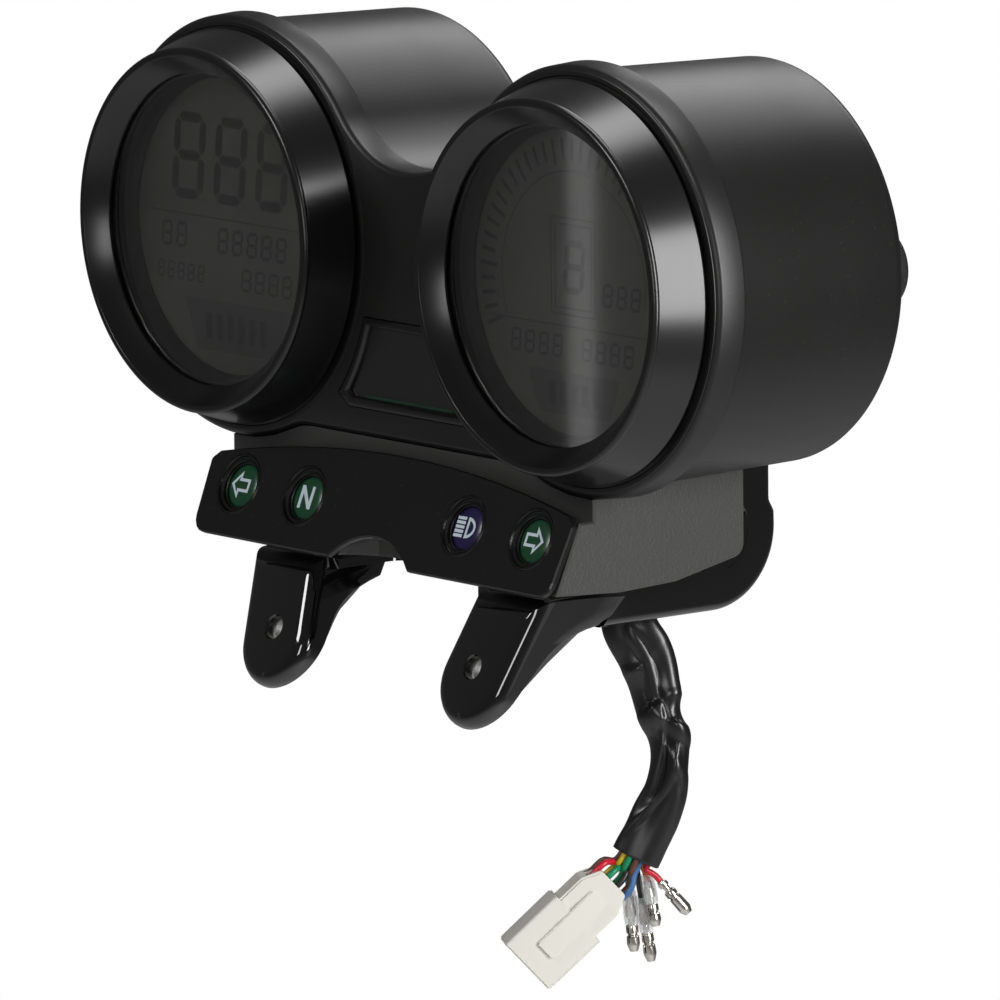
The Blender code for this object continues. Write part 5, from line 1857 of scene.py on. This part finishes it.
        reach = []
        for i in range(len(frames)):
            if i:
                s += (line[i] - line[i - 1]).length
            reach.append(s)
            rings.append(ring(i, s, 0.0))
        inner = [i for i in range(len(frames)) if reach[i] > length - self.mouth_depth]
        for i in reversed(inner[::3] + [len(frames) - 1]):
            rings.append(ring(i, reach[i], self.wall))
        sleeve = make_object("vinyl_sleeve", lofted(rings), seat(), 180.0)
        return sleeve, [p + ORIGIN for p in line]

    # wires -------------------------------------------------------------
    def wire(self, name: str, points: Sequence[Vector], colour: Insulation, far_end: str,
             pieces: Sequence[Obj], *nodes: str) -> None:
        """One insulated wire.

        Args:
            name: Piece name.
            points: Where it goes, in pod coordinates.
            colour: Its insulation.
            far_end: Not used.
            pieces: Not used.
            nodes: CAD nodes that it stands for.
        """
        route = [p + ORIGIN for p in smooth_route(points, self.wire_step)]
        data = bpy.data.curves.new(name, "CURVE")
        data.dimensions = "3D"
        line = data.splines.new("POLY")
        line.points.add(len(route) - 1)
        for spot, p in zip(line.points, route):
            spot.co = (*p, 1.0)
        data.bevel_depth = self.wire_r
        data.bevel_resolution = 5
        data.use_fill_caps = True
        obj = bpy.data.objects.new(name, data)
        bpy.context.scene.collection.objects.link(obj)
        self.dress(obj, colour.finish(), *nodes, slot=f"wire_{self.slot_of(colour)}")

    @staticmethod
    def slot_of(colour: Insulation) -> str:
        """The record's wire slot nearest to a colour.

        Args:
            colour: The insulation.

        Returns:
            The end of the slot's name.
        """
        known = {Insulation.RED: "red", Insulation.BLUE: "blue", Insulation.ORANGE: "orange"}
        return known.get(colour, "black")

    def inside(self, depth: float) -> Vector:
        """The sleeve's middle at a depth inside its mouth.

        Args:
            depth: Distance back along the sleeve.

        Returns:
            The point.
        """
        line = smooth_route(self.route, self.sleeve_step)
        walked = 0.0
        for a, b in zip(reversed(line), reversed(line[:-1])):
            walked += (b - a).length
            if walked >= depth:
                return b
        return line[0]

    def start_of(self, side_off: float, back_off: float) -> list[Vector]:
        """First points of a wire, from 27 mm inside the sleeve to its mouth.

        Args:
            side_off: Where it leaves, along the mouth's wide axis.
            back_off: Where it leaves, along its thin axis.

        Returns:
            The points; the wires draw together as they go in.
        """
        mouth = self.mouth()
        side, back = mouth.side, mouth.back
        points = [self.inside(depth) + (side * side_off + back * back_off) * share
                  for depth, share in self.wire_starts]
        points.append(mouth.middle + mouth.ahead * 0.0004 + side * side_off
                      + back * back_off)
        return points

    def build_plug_wires(self, plug: Obj) -> None:
        """Eight wires from the sleeve's mouth into the plug's back.

        Args:
            plug: The plug.
        """
        aim = Vector(self.plug_aim).normalized()
        basis = self.along((0, 0, 0), self.plug_aim, self.plug_wide).to_3x3()
        wide, high = basis.col[0], basis.col[2]
        back = Vector(self.plug_back)
        rows = [
            (Insulation.RED, (-1.5, 1.0), (-0.0033, 0.0011)),
            (Insulation.BROWN, (-1.5, -1.0), (-0.0037, -0.0009)),
            (Insulation.YELLOW, (-0.5, -1.0), (-0.0026, -0.0020)),
            (Insulation.GREEN, (-0.5, 1.0), (-0.0020, -0.0002)),
            (Insulation.GREEN, (0.5, -1.0), (-0.0009, -0.0028)),
            (Insulation.BROWN, (1.5, -1.0), (0.0010, -0.0027)),
            (Insulation.BLACK, (0.5, 1.0), (0.0000, -0.0008)),
            (Insulation.BLUE, (1.5, 1.0), (0.0018, -0.0010)),
        ]
        ahead = self.mouth().ahead
        for i, (colour, (column, row), offset) in enumerate(rows):
            begin = self.start_of(*offset)
            end = back + wide * (column * self.column_step) + high * (row * self.row_step)
            bulge = begin[-1] + ahead * 0.0016 + (end - begin[-1]) * 0.22
            points = begin + [bulge, end - aim * 0.0018, end + aim * 0.0035]
            nodes = ("wire_bundle",) if i == 0 else ()
            self.wire(f"plug_wire_{i + 1}", points, colour, "plug", [plug], *nodes)

    def build_plug(self) -> Obj:
        """Translucent nylon plug: body, wider hood, latch, guide rib and cavities.

        Returns:
            The plug.
        """
        at = self.along(self.plug_back, self.plug_aim, self.plug_wide)
        w, h, length = self.plug_w / 2, self.plug_h / 2, self.plug_l

        def block(x: float, y0: float, y1: float, z: float, r: float) -> Obj:
            """A block with rounded long edges.

            Args:
                x: Half its width.
                y0: Where it starts.
                y1: Where it ends.
                z: Half its height.
                r: Edge radius.

            Returns:
                The block.
            """
            outline = rounded([(-x, -z, r), (x, -z, r), (x, z, r), (-x, z, r)], 4)
            return make_object("block", prism(outline, y0, y1, edge=0.0004), at)

        side = w * 0.82
        body = rounded([(-side, -length * 0.62, 0.0), (side, -length * 0.62, 0.0),
                        (side, -length * 0.17, 0.0010), (side * 0.66, -0.0002, 0.0010),
                        (-side * 0.66, -0.0002, 0.0010), (-side, -length * 0.17, 0.0010)], 4)
        plug = make_object("body", prism(body, -h * 0.86, h * 0.86, "Z", 0.0006), at)
        latch = [(-length * 0.18, h - 0.0002), (-length * 0.55, h + 0.0011),
                 (-length * 0.80, h + 0.0010), (-length * 0.80, h - 0.0008),
                 (-length * 0.18, h - 0.0012)]
        more = [
            block(w, -length, -length * 0.42, h, 0.0009),
            make_object("latch", prism(latch, -0.0028, 0.0028, "X", 0.0003), at),
            make_object("rib", prism([(w - 0.0005, -0.0018), (w + 0.0011, -0.0015),
                                      (w + 0.0011, 0.0015), (w - 0.0005, 0.0018)],
                                     -length * 0.90, -length * 0.42, edge=0.0002), at),
        ]
        boolean(plug, more, "UNION", 30.0)
        cuts = [block(w - 0.0014, -length - 0.01, -length * 0.66, h - 0.0014, 0.0005)]
        for column in (-1.5, -0.5, 0.5, 1.5):
            for row in (-1.0, 1.0):
                hole = make_object("cavity", prism(
                    rounded([(-0.0013, -0.0015, 0.0003), (0.0013, -0.0015, 0.0003),
                             (0.0013, 0.0015, 0.0003), (-0.0013, 0.0015, 0.0003)], 2),
                    -0.0060, 0.0010), at @ Matrix.Translation(
                        (column * self.column_step, 0.0, row * self.row_step)))
                cuts.append(hole)
        boolean(plug, cuts, "DIFFERENCE", 30.0)
        plug.name = "nylon_plug"
        return self.dress(plug, NYLON, "plug", slot="natural_nylon")

    # terminals ---------------------------------------------------------
    def build_terminals(self) -> None:
        """Loose wires with crimped bullet terminals, three under clear sleeves."""
        ahead = self.mouth().ahead
        for name, (a, b), first, last in self.terminals:
            first, last = Vector(first), Vector(last)
            aim = (last - first).normalized()
            span = (last - first).length
            at = self.along(first, aim, (1.0, 0.2, 0.1))
            boot = 0.42 if name != "red" else 0.22
            r = self.bullet_r
            profile = [(0.0, -0.0006), (r * 0.62, -0.0006), (r * 0.66, -span * boot * 0.30),
                       (r * 0.60, -span * boot * 0.36), (r * 0.70, -span * boot * 0.44),
                       (r * 0.70, -span * boot * 0.92), (r * 0.50, -span * boot),
                       (r * 0.48, -span * (boot + 0.09)), (r * 0.86, -span * (boot + 0.12)),
                       (r * 0.94, -span * (boot + 0.15)), (r * 0.94, -span * (boot + 0.25)),
                       (r * 0.72, -span * (boot + 0.275)), (r * 0.72, -span * (boot + 0.30)),
                       (r * 0.95, -span * (boot + 0.325)), (r, -span * 0.86),
                       (r * 0.94, -span * 0.90), (r * 0.66, -span * 0.985),
                       (r * 0.62, -span), (r * 0.46, -span), (r * 0.44, -span * 0.9),
                       (0.0, -span * 0.9)]
            bullet = make_object(f"bullet_tip_{name}", turned(profile, 40), at, 30.0)
            wing = make_object("seam", prism([(-0.0002, 0.0), (0.0002, 0.0), (0.0002, 0.0030),
                                              (-0.0002, 0.0030)], -span * 0.84,
                                             -span * (boot + 0.14)), at)
            grip = make_object("grip", cylinder(r * 0.80, -span * boot * 0.90,
                                                -span * boot * 0.52, 24), at)
            boolean(bullet, [grip], "UNION", 30.0)
            boolean(bullet, [wing], "DIFFERENCE", 30.0)
            bullet.name = f"bullet_tip_{name}"
            self.dress(bullet, TIN, f"bullet_{name}", slot="tinned_brass")
            pieces = [bullet]
            if name != "red":
                pieces.append(self.turn(f"clear_boot_{name}", [
                    (r * 0.98, 0.0012), (r * 1.10, 0.0008), (r * 1.16, -span * 0.20),
                    (r * 1.14, -span * boot), (r * 1.02, -span * (boot + 0.10)),
                    (r * 0.96, -span * (boot + 0.10)), (r * 1.02, -span * boot),
                    (r * 1.03, -span * 0.20), (r * 0.92, 0.0008),
                ], 40, at, 50.0, BOOT, slot="natural_nylon"))
            begin = self.start_of(a, b)
            points = begin + [begin[-1] + ahead * 0.0014, first - aim * 0.0016,
                              first + aim * 0.0008]
            self.wire(f"loose_wire_{name}", points, Insulation[name.upper()], "connector",
                      pieces, f"wire_{name}")

    def build(self) -> None:
        """Make the harness from the grommet to the terminals."""
        self.paint(RUBBER, "harness_grommet")
        sleeve, line = self.sleeve()
        self.dress(sleeve, VINYL, "harness_sleeve", slot="vinyl_black")
        self.build_plug_wires(self.build_plug())
        self.build_terminals()


# ---------------------------------------------------------------------- stage
@dataclass(frozen=True)
class SoftLight:
    """A rectangular soft light.

    Attributes:
        name: Lamp name.
        place: Where it stands.
        aim: What it points at.
        size: Width and height.
        power: Watts.
    """

    name: str
    place: Point3
    aim: Point3
    size: Point2
    power: float

    def build(self) -> None:
        """Hang the lamp."""
        data = bpy.data.lights.new(self.name, "AREA")
        data.shape = "RECTANGLE"
        data.size, data.size_y = self.size
        data.energy = self.power
        lamp = bpy.data.objects.new(self.name, data)
        lamp.location = self.place
        way = Vector(self.aim) - Vector(self.place)
        lamp.rotation_mode = "QUATERNION"
        lamp.rotation_quaternion = way.to_track_quat("-Z", "Y")
        bpy.context.scene.collection.objects.link(lamp)


@dataclass
class Studio:
    """Floor, lights, world and camera."""

    azimuth: float = 50.82
    elevation: float = 9.18
    roll: float = -0.48
    distance: float = 3.2586
    lens: float = 458.5
    shift_x: float = 0.02010
    shift_z: float = 0.05568
    gloss_share: float = 0.035
    surround: float = 0.06
    floor_z: float = -0.80
    floor_half: float = 9.0

    def build(self) -> None:
        """Set up the whole studio."""
        self.build_world()
        self.build_floor()
        self.build_lights()
        self.build_camera()

    def build_camera(self) -> None:
        """Long-lens camera at the photograph's angle."""
        az, el, roll = radians(self.azimuth), radians(self.elevation), radians(self.roll)
        back = Vector((sin(az) * cos(el), -cos(az) * cos(el), sin(el)))
        right = (-back).cross(Vector((0, 0, 1))).normalized()
        up = right.cross(-back)
        rolled = right * cos(roll) + up * sin(roll)
        raised = -right * sin(roll) + up * cos(roll)
        place = back * self.distance - rolled * self.shift_x - raised * self.shift_z
        place += ORIGIN + Vector((0.07113, 0.0, 0.0))
        data = bpy.data.cameras.new("camera")
        data.lens = self.lens
        data.sensor_width = 36.0
        data.clip_start, data.clip_end = 0.05, 50.0
        camera = bpy.data.objects.new("camera", data)
        basis = Matrix((rolled, raised, back)).transposed().to_4x4()
        basis.translation = place
        camera.matrix_world = basis
        bpy.context.scene.collection.objects.link(camera)
        bpy.context.scene.camera = camera

    def build_world(self) -> None:
        """Dim surround that the camera sees as white, and gloss and glass in part."""
        world = bpy.data.worlds.new("studio")
        bpy.context.scene.world = world
        world.use_nodes = True
        w = Wiring(world.node_tree)
        ground = world.node_tree.nodes["Background"]
        out = world.node_tree.nodes["World Output"]
        ground.inputs["Color"].default_value = (1.0, 1.0, 1.0, 1.0)
        ground.inputs["Strength"].default_value = self.surround
        seen = w.add("ShaderNodeBackground")
        seen.inputs["Color"].default_value = (1.0, 1.0, 1.0, 1.0)
        seen.inputs["Strength"].default_value = 1.0
        w.mix(w.white_seen(self.gloss_share), ground.outputs[0], seen.outputs[0],
              out.inputs["Surface"])

    def build_floor(self) -> None:
        """Plain pale floor below the cluster, which keeps some shadow near it."""
        mesh = bpy.data.meshes.new("floor")
        h, z = self.floor_half, self.floor_z
        mesh.from_pydata([(-h, -h, z), (h, -h, z), (h, h, z), (-h, h, z)], [],
                         [(0, 1, 2, 3)])
        floor = bpy.data.objects.new("floor", mesh)
        bpy.context.scene.collection.objects.link(floor)
        mat = bpy.data.materials.new("floor_paper")
        mat.use_nodes = True
        w = Wiring(mat.node_tree)
        shader = mat.node_tree.nodes["Principled BSDF"]
        shader.inputs["Base Color"].default_value = (0.8, 0.8, 0.8, 1.0)
        shader.inputs["Roughness"].default_value = 0.9
        glow = w.add("ShaderNodeEmission")
        glow.inputs["Strength"].default_value = 1.0
        away = w.add("ShaderNodeVectorMath", operation="LENGTH")
        w.link(w.add("ShaderNodeTexCoord").outputs["Object"], away.inputs[0])
        fade = w.add("ShaderNodeMapRange", interpolation_type="SMOOTHSTEP")
        fade.inputs["From Min"].default_value = 0.95
        fade.inputs["From Max"].default_value = 2.20
        fade.inputs["To Min"].default_value = 0.80
        w.link(away.outputs["Value"], fade.inputs["Value"])
        seen = w.math("MULTIPLY", w.white_seen(self.gloss_share), fade.outputs["Result"])
        w.mix(seen, shader.outputs[0], glow.outputs[0],
              mat.node_tree.nodes["Material Output"].inputs["Surface"])
        mesh.materials.append(mat)

    def build_lights(self) -> None:
        """Boxes right, in front, above and behind, a card, and two mirror lights."""
        aim, over = (0.05, 0.03, 0.06), (0.0, 0.03, 0.05)
        strip = Vector((-0.765, -0.624, -0.160)) * 1.6 + ORIGIN + Vector((0.1100, 0, 0))
        bend = Vector((0.602, -0.793, 0.086)) * 1.6 + ORIGIN
        for light in (
                SoftLight("key", (1.20, 0.12, 0.26), aim, (0.34, 0.95), 14.0),
                SoftLight("card", (0.80, 0.30, -0.30), aim, (0.30, 0.24), 0.06),
                SoftLight("fill", (-0.25, -1.45, 0.95), (0.0, 0.03, 0.06), (0.7, 0.35), 8.0),
                SoftLight("top", (-0.1, 0.25, 1.4), over, (0.9, 0.35), 8.0),
                SoftLight("strip", tuple(strip), (0.0700, 0.0, 0.1024), (0.010, 0.7), 0.017),
                SoftLight("bend", tuple(bend), aim, (0.28, 0.55), 3.2),
                SoftLight("rim", (-0.40, 1.00, 0.95), (0.0, 0.03, 0.08), (0.9, 0.40), 4.5)):
            light.build()


def main() -> None:
    """Build the studio and every sub-assembly in order."""
    logging.basicConfig(level=logging.INFO, format="%(message)s")
    Studio().build()
    Harness().build()
    window = CentreWindow()
    Housing().build(window)
    window.build()
    for face in Face:
        Pod(face=face).build()
    LowerCase().build()
    LampPanel().build()
    Bracket().build()
    RearDamper().build()
    scene = bpy.context.scene
    scene.view_settings.view_transform = "Standard"
    log.info("all sub-assemblies built")


if __name__ == "__main__":
    main()
